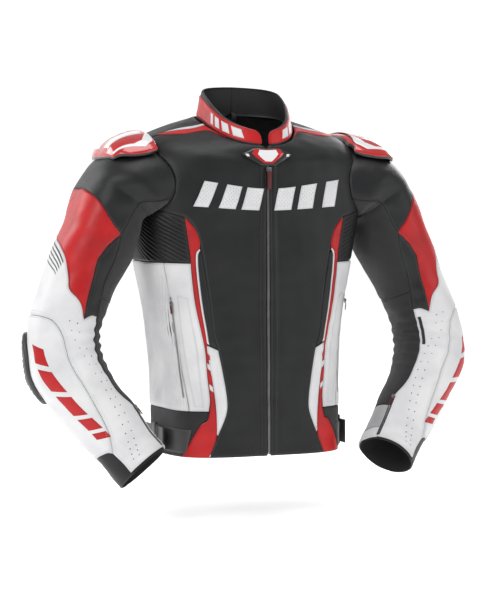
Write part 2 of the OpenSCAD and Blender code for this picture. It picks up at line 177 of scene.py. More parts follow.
torso_skin = skin_of(torso, 0.5, 1.0, lambda p, t, h: waves(p * [1, 1, 0.6], 4, 95, 0.9) + waves(p, 5, 34, 0.22))


def smooth_line(points, per=10):
    p = np.array(points, float)
    if len(p) < 3:
        return p
    ends = np.vstack([2 * p[0] - p[1], p, 2 * p[-1] - p[-2]])
    parts = []
    for i in range(len(p) - 1):
        a, b, c, d = ends[i:i + 4]
        f = np.linspace(0, 1, per, endpoint=False)[:, None]
        parts.append(0.5 * (2 * b + (c - a) * f + (2 * a - 5 * b + 4 * c - d) * f * f
                            + (3 * b - a - 3 * c + d) * f ** 3))
    return np.vstack(parts + [p[-1:]])


def evenly(line, step):
    along = np.r_[0, np.cumsum(np.linalg.norm(np.diff(line, axis=0), axis=1))]
    n = max(1, int(round(along[-1] / step)))
    s = np.linspace(0, along[-1], n + 1)
    return np.stack([np.interp(s, along, line[:, k]) for k in (0, 1)], -1)


def inside(points, ring):
    hit = np.zeros(len(points), bool)
    for a, b in zip(ring, np.roll(ring, -1, 0)):
        if a[1] != b[1]:
            cross = (a[1] > points[:, 1]) != (b[1] > points[:, 1])
            hit ^= cross & (points[:, 0] < (b[0] - a[0]) * (points[:, 1] - a[1]) / (b[1] - a[1]) + a[0])
    return hit


def reach(points, ring):
    """Distance of each point from a closed ring."""
    best = np.full(len(points), 1e9)
    for a, b in zip(ring, np.roll(ring, -1, 0)):
        d = b - a
        k = np.clip((points - a) @ d / max(d @ d, 1e-12), 0, 1)
        best = np.minimum(best, np.linalg.norm(points - a - k[:, None] * d, axis=1))
    return best


def inward(ring):
    way = np.roll(ring, -1, 0) - np.roll(ring, 1, 0)
    way /= np.linalg.norm(way, axis=1, keepdims=True) + 1e-12
    return np.stack([-way[:, 1], way[:, 0]], -1)


def solid(name, outer, inner, tris, flip, uv=None, seam=None, angle=38):
    """Closes an outer and an inner skin of the same triangles with a rim, as one mesh."""
    n = len(outer)
    tris = np.asarray(tris)
    if flip:
        tris = tris[:, ::-1]
    edges = np.vstack([tris[:, [0, 1]], tris[:, [1, 2]], tris[:, [2, 0]]])
    known = set(map(tuple, edges.tolist()))
    rim = [(a, b) for a, b in edges.tolist() if (b, a) not in known]
    faces = tris.tolist() + (tris[:, ::-1] + n).tolist() + [(b, a, a + n, b + n) for a, b in rim]
    mesh = bpy.data.meshes.new(name)
    mesh.from_pydata((np.vstack([outer, inner]) - HANG) * MM, [], faces)
    mesh.shade_smooth()
    mesh.set_sharp_from_angle(angle=np.radians(angle))
    if uv is not None:
        corner = np.zeros(len(mesh.loops), int)
        mesh.loops.foreach_get("vertex_index", corner)
        layer = mesh.uv_layers.new(name="cloth")
        layer.data.foreach_set("uv", np.vstack([uv, uv])[corner].ravel() * 0.01)
    if seam is not None:
        mesh.attributes.new("seam", "FLOAT", "POINT").data.foreach_set("value", np.r_[seam, seam * 0])
    piece = bpy.data.objects.new(name, mesh)
    bpy.context.collection.objects.link(piece)
    return piece


def cut(name, skin, edges, side=1, step=4.0, thick=1.4, lift=0.0, gap=0.3, roll=1.1, relief=None, angle=38):
    """One cut panel: its outline in the surface's own coordinates, rolled down at its seams."""
    lines = [smooth_line(e) for e in edges]
    lo, hi = np.vstack(lines).min(0), np.vstack(lines).max(0)
    e = (hi - lo) * 1e-3
    gu, gv = np.meshgrid(np.linspace(lo[0], hi[0], 7)[1:-1], np.linspace(lo[1], hi[1], 7)[1:-1])
    scale = np.array([
        np.linalg.norm(skin(gu + e[0], gv)[0] - skin(gu - e[0], gv)[0], axis=-1).mean() / (2 * e[0]),
        np.linalg.norm(skin(gu, gv + e[1])[0] - skin(gu, gv - e[1])[0], axis=-1).mean() / (2 * e[1])])
    ring = np.vstack([evenly(line * scale, step)[:-1] for line in lines])
    area = np.sum(ring[:, 0] * np.roll(ring[:, 1], -1) - ring[:, 1] * np.roll(ring[:, 0], -1))
    if area < 0:
        ring = ring[::-1]
    ring = ring + inward(ring) * gap
    low, high = ring.min(0), ring.max(0)
    ys = np.arange(low[1], high[1], step * 0.866)
    grid = np.vstack([np.stack([np.arange(low[0] + (k % 2) * step / 2, high[0], step),
                                np.full(len(np.arange(low[0] + (k % 2) * step / 2, high[0], step)), y)], -1)
                      for k, y in enumerate(ys)])
    grid = grid[inside(grid, ring)]
    grid = grid[reach(grid, ring) > 3.4 + 0.3 * step] if roll else grid[reach(grid, ring) > 0.6 * step]
    sets = [ring, grid]
    for d in ((1.1, 2.8) if roll else ()):
        row = ring + inward(ring) * d
        row = row[inside(row, ring)]
        sets.append(row[reach(row, ring) > 0.92 * d])
    loop = [(i, (i + 1) % len(ring)) for i in range(len(ring))]
    out = delaunay_2d_cdt([Vector(p) for p in np.vstack(sets)], loop, [], 1, 1e-4)
    flat = np.array([tuple(v) for v in out[0]])
    tris = np.array([f for f in out[2] if len(f) == 3])
    mirror = np.array([side, 1, 1])

    def at(points, off=0.0):
        d = reach(points, ring)
        u, v = points[:, 0] / scale[0], points[:, 1] / scale[1]
        drop = -roll * (1 - np.clip(d / 3.2, 0, 1)) ** 2 if roll else 0 * d
        own = relief(points[:, 0], points[:, 1], d, u, v) if relief else 0 * d
        p, n = skin(u, v, lift + drop + own + off)
        return p * mirror, n * mirror

    outer, n = at(flat)
    d = reach(flat, ring)
    corners = outer[tris]
    facing = np.cross(corners[:, 1] - corners[:, 0], corners[:, 2] - corners[:, 0])
    flip = np.sum(facing * n[tris[:, 0]]) < 0
    piece = solid(name, outer, outer - n * thick, tris, flip, flat, np.clip(d / 9, 0, 1), angle)
    return {"piece": piece, "at": at, "ring": ring, "scale": scale}


def closed(*edges):
    """A closed outline, each edge ending where the next one starts."""
    return [list(a) + [b[0]] for a, b in zip(edges, edges[1:] + edges[:1])]


def sides(*corners):
    """The straight edges of a closed outline, from its corners."""
    return [[a, b] for a, b in zip(corners, corners[1:] + corners[:1])]


def tube(name, skin, start, stop, n, m, off, thick, side=1, turn0=0, turn1=360, leave_out=None):
    """A closed sleeve or band of a surface, all the way round or over part of a turn."""
    whole = turn1 - turn0 == 360
    u = np.linspace(turn0, turn1, m + 1)[:-1] if whole else np.linspace(turn0, turn1, m + 1)
    gu, gv = np.meshgrid(u, np.linspace(start, stop, n + 1))
    p, normal = skin(gu.ravel(), gv.ravel(), off)
    w = len(u)
    tris = []
    for i in range(n):
        for j in range(m):
            a, b = i * w + j, i * w + (j + 1) % w
            if leave_out is None or not leave_out(gu[i, j] + 180 / m, (gv[i, j] + gv[i + 1, j]) / 2):
                tris += [(a, b, b + w), (a, b + w, a + w)]
    mirror = np.array([side, 1, 1])
    p, normal = p * mirror, normal * mirror
    c = p[np.array(tris)]
    flip = np.sum(np.cross(c[:, 1] - c[:, 0], c[:, 2] - c[:, 0]) * normal[np.array(tris)[:, 0]]) < 0
    lo = np.linalg.norm(p[w] - p[0])
    uv = np.stack([gu.ravel() * 2.6, (gv.ravel() - start) / (stop - start) * lo * n], -1)
    return solid(name, p, p - normal * thick, tris, flip, uv, np.ones(len(p)))


# Where fabric bends: the armhole, and the elbow
CROSSINGS = {}
for side, tag in ((1, "L"), (-1, "R")):
    CROSSINGS["shoulder_" + tag] = ("jacket_body", "upper_arm_" + tag, (side * 0.188, 0, 0), (side * 0.245, 0, 0))
    CROSSINGS["elbow_" + tag] = ("upper_arm_" + tag, "forearm_" + tag,
                                 (side * 0.312, -0.083, -0.317), (side * 0.310, -0.114, -0.432))


def carry(piece, place, finish, *nodes):
    """Lets a piece move with a body, or bakes it in place where it crosses a bend, and hides the model parts it
    takes the place of.
    """
    if place in CROSSINGS:
        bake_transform(piece)
    else:
        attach(piece, place)
    if nodes:
        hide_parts(*nodes)
    return piece


def lay(panel, made, place, finish, *nodes):
    """Gives a piece its one material and hangs it on its body."""
    piece = panel["piece"] if isinstance(panel, dict) else panel
    piece.data.materials.append(made)
    carry(piece, place, finish, *nodes)


def material(name, **constants):
    made = bpy.data.materials.new(name)
    made.use_nodes = True
    shader = made.node_tree.nodes["Principled BSDF"]
    for key, value in constants.items():
        shader.inputs[key.replace("_", " ").title().replace("Ior", "IOR")].default_value = value
    return made, made.node_tree, shader


def wire(tree, *pairs):
    for a, b in pairs:
        tree.links.new(a, b)


def node(tree, kind, **settings):
    made = tree.nodes.new(kind)
    for key, value in settings.items():
        if key.startswith("in_"):
            made.inputs[int(key[3:])].default_value = value
        else:
            setattr(made, key, value)
    return made


def group_of(name, inputs, outputs):
    group = bpy.data.node_groups.new(name, "ShaderNodeTree")
    for label, kind, value in inputs:
        made = group.interface.new_socket(label, in_out="INPUT", socket_type="NodeSocket" + kind)
        if value is not None:
            made.default_value = value
    for label, kind in outputs:
        group.interface.new_socket(label, in_out="OUTPUT", socket_type="NodeSocket" + kind)
    return group, group.nodes.new("NodeGroupInput").outputs, group.nodes.new("NodeGroupOutput").inputs


# Knitted or woven cloth: rows of loops across, with a little fluff between them
knit, k_in, k_out = group_of(
    "cloth_loops",
    [("Place", "Vector", None), ("Rows", "Float", 60.0), ("Light", "Color", (0.1, 0.1, 0.1, 1)),
     ("Dark", "Color", (0.02, 0.02, 0.02, 1)), ("Soft", "Float", 0.8)],
    [("Colour", "Color"), ("Roughness", "Float"), ("Height", "Float")])
across = node(knit, "ShaderNodeTexWave", wave_type="BANDS", bands_direction="X")
down = node(knit, "ShaderNodeTexWave", wave_type="BANDS", bands_direction="Y")
fluff = node(knit, "ShaderNodeTexNoise", in_2=9.0, in_3=3.0)
loops = node(knit, "ShaderNodeMath", operation="MULTIPLY")
shade = node(knit, "ShaderNodeMix", data_type="RGBA")
tone = node(knit, "ShaderNodeMath", operation="MULTIPLY_ADD", in_1=0.5, in_2=0.15)
rough = node(knit, "ShaderNodeMath", operation="MULTIPLY_ADD", in_1=0.15)
wire(knit, (k_in["Place"], across.inputs["Vector"]), (k_in["Rows"], across.inputs["Scale"]),
     (k_in["Place"], down.inputs["Vector"]), (k_in["Rows"], down.inputs["Scale"]),
     (k_in["Place"], fluff.inputs["Vector"]), (across.outputs["Fac"], loops.inputs[0]),
     (down.outputs["Fac"], loops.inputs[1]), (fluff.outputs["Fac"], tone.inputs[0]),
     (tone.outputs[0], shade.inputs["Factor"]), (k_in["Dark"], shade.inputs["A"]),
     (k_in["Light"], shade.inputs["B"]), (shade.outputs["Result"], k_out["Colour"]),
     (fluff.outputs["Fac"], rough.inputs[0]), (k_in["Soft"], rough.inputs[2]),
     (rough.outputs[0], k_out["Roughness"]), (loops.outputs[0], k_out["Height"]))


def cloth(name, light, dark, count=60.0, depth=0.3, soft=0.78, **constants):
    made, tree, shader = material(name, **constants)
    spot = node(tree, "ShaderNodeUVMap", uv_map="cloth")
    weave = node(tree, "ShaderNodeGroup", node_tree=knit)
    for key, value in (("Rows", count), ("Light", (*light, 1)), ("Dark", (*dark, 1)), ("Soft", soft)):
        weave.inputs[key].default_value = value
    bump = node(tree, "ShaderNodeBump")
    bump.inputs["Strength"].default_value = depth
    bump.inputs["Distance"].default_value = 0.0006
    wire(tree, (spot.outputs["UV"], weave.inputs["Place"]), (weave.outputs["Colour"], shader.inputs["Base Color"]),
         (weave.outputs["Roughness"], shader.inputs["Roughness"]), (weave.outputs["Height"], bump.inputs["Height"]),
         (bump.outputs["Normal"], shader.inputs["Normal"]))
    return made


lining_mesh = cloth("lining_mesh", (0.030, 0.030, 0.032), (0.010, 0.010, 0.011), 22, 0.6)
ARM_MID, ARM_HALF, ARM_WIDE = 460, 66, 34


def in_armhole(t, h):
    c = (h - ARM_MID) / ARM_HALF
    if abs(c) >= 1:
        return False
    c = np.sign(c) * abs(c) ** 1.25
    return abs(90 - abs((t + 180) % 360 - 180)) < ARM_WIDE * (1 - c * c) ** 0.4 * (1 - 0.08 * c)


lining = tube("body_lining", torso_skin, 6, 562, 70, 120, -3.6, 0.9, leave_out=in_armhole)
lay(lining, lining_mesh, "jacket_body", "lining_mesh", "torso_lining")

# ---------------------------------------------------------------- Front panels
# Two black cowhide fronts from hem to shoulder seam, folded under at the zip, with
# rows of fine holes for air, and the shoulder seam and armhole sewn round.
SIDE_BACK = 126
FRONT_EDGE = [(61, 408), (50, 400), (45, 382), (40.5, 340), (36, 260), (34.5, 203), (32.5, 180),
              (30.5, 138), (29.5, 97), (30.5, 72), (36, 36), (41, 0)]
STRIPE_FRONT = [(41, 0), (36.5, 36), (36.5, 80), (37, 122), (38.5, 176), (37.8, 190), (38.7, 211),
                (40.7, 260), (43, 330), (41.5, 345), (42, 360), (45, 382), (50, 400)]
STRIPE_EDGE = [(58, 0), (54, 16), (46, 54), (41.5, 64), (39.5, 97), (39.5, 130), (39.5, 176), (41, 211),
               (43.5, 260), (45.5, 323), (47, 351), (50, 400)]


def loop_at(q, grow=0.0):
    """The armhole's seam as (t, h); q is 0 at the shoulder, 90 in front, 180 underneath."""
    q = np.radians(np.asarray(q, float))
    k = 1 + grow / ARM_HALF
    c, s = spow(np.cos(q), 0.8), spow(np.sin(q), 0.8)
    return 90 - ARM_WIDE * k * s * (1 - 0.08 * np.cos(q)), ARM_MID + (ARM_HALF + grow) * c


def hole_line(first, last, count=24):
    return np.stack(loop_at(np.linspace(first, last, count)), -1).tolist()


hide, h_in, h_out = group_of(
    "hide_grain",
    [("Place", "Vector", None), ("Seam", "Float", 1.0), ("Pebbles", "Float", 90.0),
     ("Colour", "Color", (0.02, 0.02, 0.02, 1)), ("Shade", "Color", (0.01, 0.01, 0.01, 1)),
     ("Seam Shade And Wear", "Color", (0.1, 0.1, 0.1, 1)), ("Gloss", "Float", 0.4)],
    [("Colour", "Color"), ("Roughness", "Float"), ("Height", "Float")])
pebbles = node(hide, "ShaderNodeTexVoronoi", feature="SMOOTH_F1")
pebbles.inputs["Smoothness"].default_value = 0.4
creases = node(hide, "ShaderNodeTexNoise")
creases.inputs["Scale"].default_value = 26.0
creases.inputs["Detail"].default_value = 5.0
mottle = node(hide, "ShaderNodeTexNoise")
mottle.inputs["Scale"].default_value = 1.7
mottle.inputs["Detail"].default_value = 4.0
grain = node(hide, "ShaderNodeMath", operation="MULTIPLY_ADD", in_1=0.55)
patch = node(hide, "ShaderNodeMapRange", in_1=0.35, in_2=0.68)
base = node(hide, "ShaderNodeMix", data_type="RGBA")
# Seam band: within about 3 mm of a panel's edge the colour is mixed toward the seam colour, streaked by the crease
# noise. On the white, red and silver hides that colour is darker, painted shade along the seams; on the black hides
# it is lighter, like rubbed wear.
near = node(hide, "ShaderNodeMapRange", in_1=0.0, in_2=0.30, in_3=0.55, in_4=0.0)
seam_shade_and_wear_mask = node(hide, "ShaderNodeMath", operation="MULTIPLY")
seam_shade_and_wear_mix = node(hide, "ShaderNodeMix", data_type="RGBA")
dull = node(hide, "ShaderNodeMath", operation="MULTIPLY_ADD", in_1=0.16)
wire(hide, (h_in["Place"], pebbles.inputs["Vector"]), (h_in["Pebbles"], pebbles.inputs["Scale"]),
     (h_in["Place"], creases.inputs["Vector"]), (h_in["Place"], mottle.inputs["Vector"]),
     (pebbles.outputs["Distance"], grain.inputs[0]), (creases.outputs["Fac"], grain.inputs[2]),
     (mottle.outputs["Fac"], patch.inputs[0]), (patch.outputs[0], base.inputs["Factor"]),
     (h_in["Colour"], base.inputs["A"]), (h_in["Shade"], base.inputs["B"]),
     (h_in["Seam"], near.inputs[0]), (near.outputs[0], seam_shade_and_wear_mask.inputs[0]), (creases.outputs["Fac"],
         seam_shade_and_wear_mask.inputs[1]),
     (seam_shade_and_wear_mask.outputs[0], seam_shade_and_wear_mix.inputs["Factor"]), (base.outputs["Result"], seam_shade_and_wear_mix.inputs["A"]),
     (h_in["Seam Shade And Wear"], seam_shade_and_wear_mix.inputs["B"]), (seam_shade_and_wear_mix.outputs["Result"], h_out["Colour"]),
     (creases.outputs["Fac"], dull.inputs[0]), (h_in["Gloss"], dull.inputs[2]),
     (dull.outputs[0], h_out["Roughness"]), (grain.outputs[0], h_out["Height"]))


def leather(name, colour, shade, seam_shade_and_wear, gloss=0.36, depth=0.35, size=90.0, **constants):
    made, tree, shader = material(name, **constants)
    spot = node(tree, "ShaderNodeUVMap", uv_map="cloth")
    edge = node(tree, "ShaderNodeAttribute", attribute_name="seam")
    skin = node(tree, "ShaderNodeGroup", node_tree=hide)
    for key, value in (("Pebbles", size), ("Colour", (*colour, 1)), ("Shade", (*shade, 1)),
                       ("Seam Shade And Wear", (*seam_shade_and_wear, 1)), ("Gloss", gloss)):
        skin.inputs[key].default_value = value
    bump = node(tree, "ShaderNodeBump")
    bump.inputs["Strength"].default_value = depth
    bump.inputs["Distance"].default_value = 0.0005
    wire(tree, (spot.outputs["UV"], skin.inputs["Place"]), (edge.outputs["Fac"], skin.inputs["Seam"]),
         (skin.outputs["Colour"], shader.inputs["Base Color"]),
         (skin.outputs["Roughness"], shader.inputs["Roughness"]), (skin.outputs["Height"], bump.inputs["Height"]),
         (bump.outputs["Normal"], shader.inputs["Normal"]))
    return made


# Each hide's third colour is its seam colour: darker on the white, red and silver hides, as painted shade along the
# seams, and lighter on the black ones, as rubbed wear.
black_leather = leather("black_cowhide", (0.012, 0.0125, 0.0135), (0.007, 0.0075, 0.008), (0.045, 0.045, 0.048),
    0.36, specular_ior_level=0.32)
white_leather = leather("white_cowhide", (0.72, 0.72, 0.725), (0.60, 0.60, 0.615), (0.36, 0.36, 0.37), 0.38, 0.35,
    specular_ior_level=0.35)
red_leather = leather("red_cowhide", (0.52, 0.008, 0.010), (0.34, 0.004, 0.006), (0.24, 0.006, 0.008), 0.34, 0.3,
                      specular_ior_level=0.35, coat_weight=0.06, coat_roughness=0.2)
SEWING, HOLES = {}, {}


def sew(panel, inset=2.4, thread="dark_thread", place="jacket_body", keep=None):
    """Notes a row of stitches that follows a panel's edge, a little way in from it."""
    ring = panel["ring"]
    row = ring + inward(ring) * inset
    good = inside(row, ring) & (reach(row, ring) > 0.9 * inset)
    if keep is not None:
        good &= keep(row[:, 0] / panel["scale"][0], row[:, 1] / panel["scale"][1])
    runs, run = [], []
    start = int(np.argmin(good)) if not good.all() else 0
    for k in np.roll(np.arange(len(row)), -start):
        if good[k]:
            run.append(k)
        elif run:
            runs.append(run)
            run = []
    runs.append(run + ([start] if good.all() else []))
    for run in runs:
        if len(run) > 2:
            SEWING.setdefault((place, thread), []).append(panel["at"](row[run], 0.12)[0])


def sew_line(panel, points, thread="dark_thread", place="jacket_body", off=0.12):
    """Notes a row of stitches along a line given in the surface's own coordinates."""
    line = evenly(smooth_line(points) * panel["scale"], 3.0)
    SEWING.setdefault((place, thread), []).append(panel["at"](line, off)[0])


def punch(panel, points, place="jacket_body", kind="air_hole"):
    """Notes air holes at points given in millimetres on the flat panel."""
    p, n = panel["at"](np.asarray(points, float), 0.03)
    HOLES.setdefault((place, kind), []).append((p, n))


def lattice(panel, pitch, margin, keep=None):
    low, high = panel["ring"].min(0), panel["ring"].max(0)
    xs, ys = np.meshgrid(np.arange(low[0], high[0], pitch), np.arange(low[1], high[1], pitch * 0.5))
    xs = xs + (np.round((ys - low[1]) / (pitch * 0.5)) % 2) * pitch / 2
    spots = np.stack([xs.ravel(), ys.ravel()], -1)
    spots = spots[inside(spots, panel["ring"])]
    spots = spots[reach(spots, panel["ring"]) > margin]
    if keep is not None:
        spots = spots[keep(spots[:, 0] / panel["scale"][0], spots[:, 1] / panel["scale"][1])]
    return spots


def zip_fold(x, y, d, t, h):
    """The front's edge stands up a little where it is folded over beside the zip."""
    return 1.3 * np.exp(-((t - 4.2) / 1.9) ** 2) - 0.5 * np.exp(-((t - 7.6) / 0.8) ** 2)


for side, tag in ((1, "L"), (-1, "R")):
    front = cut("front_leather_" + tag, torso_skin,
                [[(1.5, 1), (1.5, 300), (1.5, 563)], [(1.5, 563), (70, 564)], [(70, 564), (86, 524)],
                 hole_line(4, 138), [(61, 408), (50, 400)], FRONT_EDGE[1:], [(41, 1), (1.5, 1)]],
                side, 4.2, relief=zip_fold)
    lay(front, black_leather, "jacket_body", "black_leather", "front_panel_" + tag)
    sew(front)
    sew_line(front, [(5.6, 6), (5.6, 300), (5.6, 556)])
    punch(front, lattice(front, 6.4, 7, lambda t, h: (h < 520 - 0.5 * t) & (t > 9)))

# ---------------------------------------------------------------- Front inserts and stripes
# Long curved strips down each front: a dark insert, a white crescent below it and a red
# stripe outside both, all cut from cowhide and sewn flat edge to edge.


def between(line, low, high):
    """The part of a seam between two heights, from low to high, its ends cut exactly."""
    pts = np.array(sorted(line, key=lambda p: p[1]), float)
    at = lambda h: [float(np.interp(h, pts[:, 1], pts[:, 0])), h]
    return [at(low)] + [p.tolist() for p in pts if low + 4 < p[1] < high - 4] + [at(high)]


for side, tag in ((1, "L"), (-1, "R")):
    insert = cut("dark_insert_" + tag, torso_skin,
                 [between(FRONT_EDGE, 181, 339), between(STRIPE_FRONT, 186, 339)[::-1]], side, 3)
    crescent = cut("white_crescent_" + tag, torso_skin,
                   [between(FRONT_EDGE, 37, 180), between(STRIPE_FRONT, 37, 185)[::-1]], side, 3)
    stripe = cut("red_stripe_" + tag, torso_skin,
                 [between(STRIPE_FRONT, 1, 400), between(STRIPE_EDGE, 1, 399)[::-1], [(58, 1), (41, 1)]], side, 3)
    for panel, finish, made, thread, nodes in (
            (insert, "black_leather", black_leather, "dark_thread", ["dark_inserts"] if side > 0 else []),
            (crescent, "white_leather", white_leather, "pale_thread", ["white_crescents"] if side > 0 else []),
            (stripe, "red_leather", red_leather, "red_thread", ["red_stripe_" + tag])):
        lay(panel, made, "jacket_body", finish, *nodes)
        sew(panel, 2.0, thread)
    punch(insert, lattice(insert, 4.2, 3.2))
    # The white piping between the dark insert and the stripe, and the slanted dashes on the stripe
    pipe = [(t - 0.9, h) for t, h in between(STRIPE_FRONT, 186, 344)]
    piping = cut("white_piping_" + tag, torso_skin,
                 [pipe, [(t + 1.0, h) for t, h in pipe[::-1]]], side, 3, 0.7, 0.25, 0, 0.35)
    lay(piping, white_leather, "jacket_body", "white_leather")
    for k in range(5):
        h = 92 + 17 * k
        t = float(np.interp(h + 8, [p[1] for p in STRIPE_EDGE], [p[0] for p in STRIPE_EDGE]))
        dash = cut("stripe_dash_%s_%d" % (tag, k), torso_skin,
                   sides((t - 2.4, h), (t - 0.5, h + 5), (t - 0.5, h + 14), (t - 2.4, h + 9)),
                   side, 2.5, 0.6, 0.35, 0, 0.3)
        lay(dash, white_leather if k % 2 else red_leather, "jacket_body",
            "white_leather" if k % 2 else "red_leather")

# ---------------------------------------------------------------- Side panels and pockets
# White side panels: smooth leather in front round the hand pocket, then leather gathered on
# elastic into upright ribs towards the back, with a flap over the pocket's zip.
SEAM_IN_SIDE = [(60, 319), (57, 240), (54.5, 150), (52, 78)]


def gathers(x, y, d, t, h):
    """Upright ribs of leather drawn up on elastic; they run together towards the waist."""
    phase = x / 6.3 + 0.5 * np.sin(y / 41.0) + 0.3 * np.sin(y / 17.0 + x / 19.0)
    ridge = np.abs(np.cos(np.pi * phase)) ** 0.7
    deep = 3.0 * np.clip(d / 9, 0, 1) * np.clip((322 - h) / 60, 0.15, 1)
    return deep * (ridge - 0.8) + 1.1 * np.sin(x / 23.0 + y / 60.0)


def puckers(x, y, d, t, h):
    return 0.8 * np.sin(y / 26.0 + x / 31.0) * np.clip(d / 20, 0, 1) + 0.25 * np.sin(y / 5.5 + x / 13.0)


for side, tag in ((1, "L"), (-1, "R")):
    plain = cut("side_leather_" + tag, torso_skin,
                [between(STRIPE_EDGE, 77, 320), [(45.4, 320), (60, 320)], SEAM_IN_SIDE, [(52, 77), (41, 77)]],
                side, 3.4, relief=puckers)
    ribbed = cut("side_gathers_" + tag, torso_skin,
                 [[(60, 320), (SIDE_BACK, 320)], [(SIDE_BACK, 320), (SIDE_BACK, 77)], [(SIDE_BACK, 77), (52, 77)],
                  SEAM_IN_SIDE[::-1]], side, 1.9, relief=gathers)
    for panel, nodes in ((plain, ["side_panel_" + tag]), (ribbed, [])):
        lay(panel, white_leather, "jacket_body", "white_leather", *nodes)
        sew(panel, 2.2, "pale_thread")
    flap = cut("pocket_flap_" + tag, torso_skin,
               closed([(46.6, 262)], [(52.8, 266), (51.6, 180)], [(48.6, 84)], [(43.2, 84),
                   (43.8, 180)]), side, 3, 1.2, 1.3, 0, 0.5)
    lay(flap, white_leather, "jacket_body", "white_leather", *(["pocket_welts"] if side > 0 else []))
    sew(flap, 1.9, "pale_thread")

# ---------------------------------------------------------------- Under the arms and the waist
# Black accordion leather under each arm, ribs sloping down to the front, a black elastic
# zone round the waist, and the webbing strap that draws the waist in through its keeper.


def arm_low(t):
    s = np.minimum(1, np.abs(90 - t) / ARM_WIDE) ** 1.25
    return ARM_MID - ARM_HALF * np.sqrt(1 - s * s) ** 0.8


def accordion(pitch, slope, deep, along=0.0):
    """Soft ribs across a panel: pitch apart, leaning by slope, dying out at its seams."""
    def relief(x, y, d, u, v):
        phase = (y - slope * x) / pitch
        return deep * (np.abs(np.cos(np.pi * phase)) ** 0.8 - 0.75) * np.clip(d / 5, 0, 1)
    return relief


ribbed_black = leather("accordion_leather", (0.010, 0.010, 0.011), (0.006, 0.006, 0.007), (0.04, 0.04, 0.042), 0.42,
    specular_ior_level=0.35)
knit_black = cloth("stretch_knit", (0.020, 0.020, 0.022), (0.008, 0.008, 0.009), 42, 0.55, 0.72,
                   sheen_weight=0.15, sheen_roughness=0.5)
for side, tag in ((1, "L"), (-1, "R")):
    tops = [(t, min(float(arm_low(t)) - 1.5, 399.5 + 0.7 * (t - 50) if t < 90 else 403)) for t in np.linspace(50.5,
        SIDE_BACK, 16)]
    under = cut("underarm_accordion_" + tag, torso_skin,
                [between(STRIPE_EDGE, 321, 399), tops, [(SIDE_BACK, 403), (SIDE_BACK, 321)],
                 [(SIDE_BACK, 321), (45.4, 321)]], side, 1.7, relief=accordion(7.2, 0.42, 2.4))
    lay(under, ribbed_black, "jacket_body", "stretch_knit", "underarm_stretch_" + tag)
    waist = cut("waist_elastic_" + tag, torso_skin,
                [between(STRIPE_EDGE, 1, 76), [(41.2, 76), (SIDE_BACK, 76)], [(SIDE_BACK, 76), (SIDE_BACK, 1)],
                 [(SIDE_BACK, 1), (58, 1)]], side, 2.2, lift=-0.8,
                relief=lambda x, y, d, t, h: 1.0 * (np.abs(np.cos(np.pi * x / 5.2)) ** 0.7 - 0.7)
                * np.clip(d / 5, 0, 1) * np.clip((h - 50) / 8, 0, 1))
    lay(waist, knit_black, "jacket_body", "stretch_knit", "waist_panel_" + tag)
    sew(waist, 2.2)

strap_web = leather("waist_strap_leather", (0.045, 0.044, 0.045), (0.030, 0.030, 0.031), (0.10, 0.10, 0.10), 0.42)
buckle_plastic, tree, shader = material("moulded_nylon", roughness=0.35)
spot = node(tree, "ShaderNodeTexCoord")
dust = node(tree, "ShaderNodeTexNoise", in_2=180.0, in_3=4.0)
sheen = node(tree, "ShaderNodeMapRange", in_3=0.28, in_4=0.5)
dark = node(tree, "ShaderNodeMix", data_type="RGBA")
dark.inputs["A"].default_value, dark.inputs["B"].default_value = (0.02, 0.02, 0.022, 1), (0.035, 0.035, 0.038, 1)
wire(tree, (spot.outputs["Object"], dust.inputs["Vector"]), (dust.outputs["Fac"], sheen.inputs["Value"]),
     (sheen.outputs["Result"], shader.inputs["Roughness"]), (dust.outputs["Fac"], dark.inputs["Factor"]),
     (dark.outputs["Result"], shader.inputs["Base Color"]))


def strip(name, line, across, width, thick, bow=0.0, turns=None):
    """A flat strap along a line of design points; across is the way its width lies."""
    line = np.array(line, float)
    along = np.gradient(line, axis=0)
    along /= np.linalg.norm(along, axis=1, keepdims=True)
    wide = np.array(across, float) - along * (along @ np.array(across, float))[:, None]
    wide /= np.linalg.norm(wide, axis=1, keepdims=True)
    up = np.cross(along, wide)
    shape = [(-1, 0.2), (-0.97, 1), (-0.5, 1 + bow), (0, 1 + bow * 1.3), (0.5, 1 + bow), (0.97, 1), (1, 0.2),
             (1, -0.2), (0.97, -1), (0.5, -1), (0, -1), (-0.5, -1), (-0.97, -1), (-1, -0.2)]
    pts = np.concatenate([line + wide * a * width / 2 + up * b * thick / 2 for a, b in shape])
    n, m = len(line), len(shape)
    faces = [(k * n + i, k * n + i + 1, (k + 1) % m * n + i + 1, (k + 1) % m * n + i)
             for k in range(m) for i in range(n - 1)]
    faces += [[k * n for k in range(m)], [k * n + n - 1 for k in range(m)][::-1]]
    mesh = bpy.data.meshes.new(name)
    mesh.from_pydata((pts - HANG) * MM, [], faces)
    fix_normals(mesh)
    mesh.shade_smooth()
    mesh.set_sharp_from_angle(angle=np.radians(50))
    layer = mesh.uv_layers.new(name="cloth")
    corner = np.zeros(len(mesh.loops), int)
    mesh.loops.foreach_get("vertex_index", corner)
    flat = np.stack([np.repeat([a * width / 2 for a, b in shape], n),
                     np.tile(np.r_[0, np.cumsum(np.linalg.norm(np.diff(line, axis=0), axis=1))], m)], -1)
    layer.data.foreach_set("uv", flat[corner].ravel() * 0.01)
    piece = bpy.data.objects.new(name, mesh)
    bpy.context.collection.objects.link(piece)
    return piece


def fix_normals(mesh):
    import bmesh
    work = bmesh.new()
    work.from_mesh(mesh)
    bmesh.ops.recalc_face_normals(work, faces=work.faces)
    work.to_mesh(mesh)
    work.free()


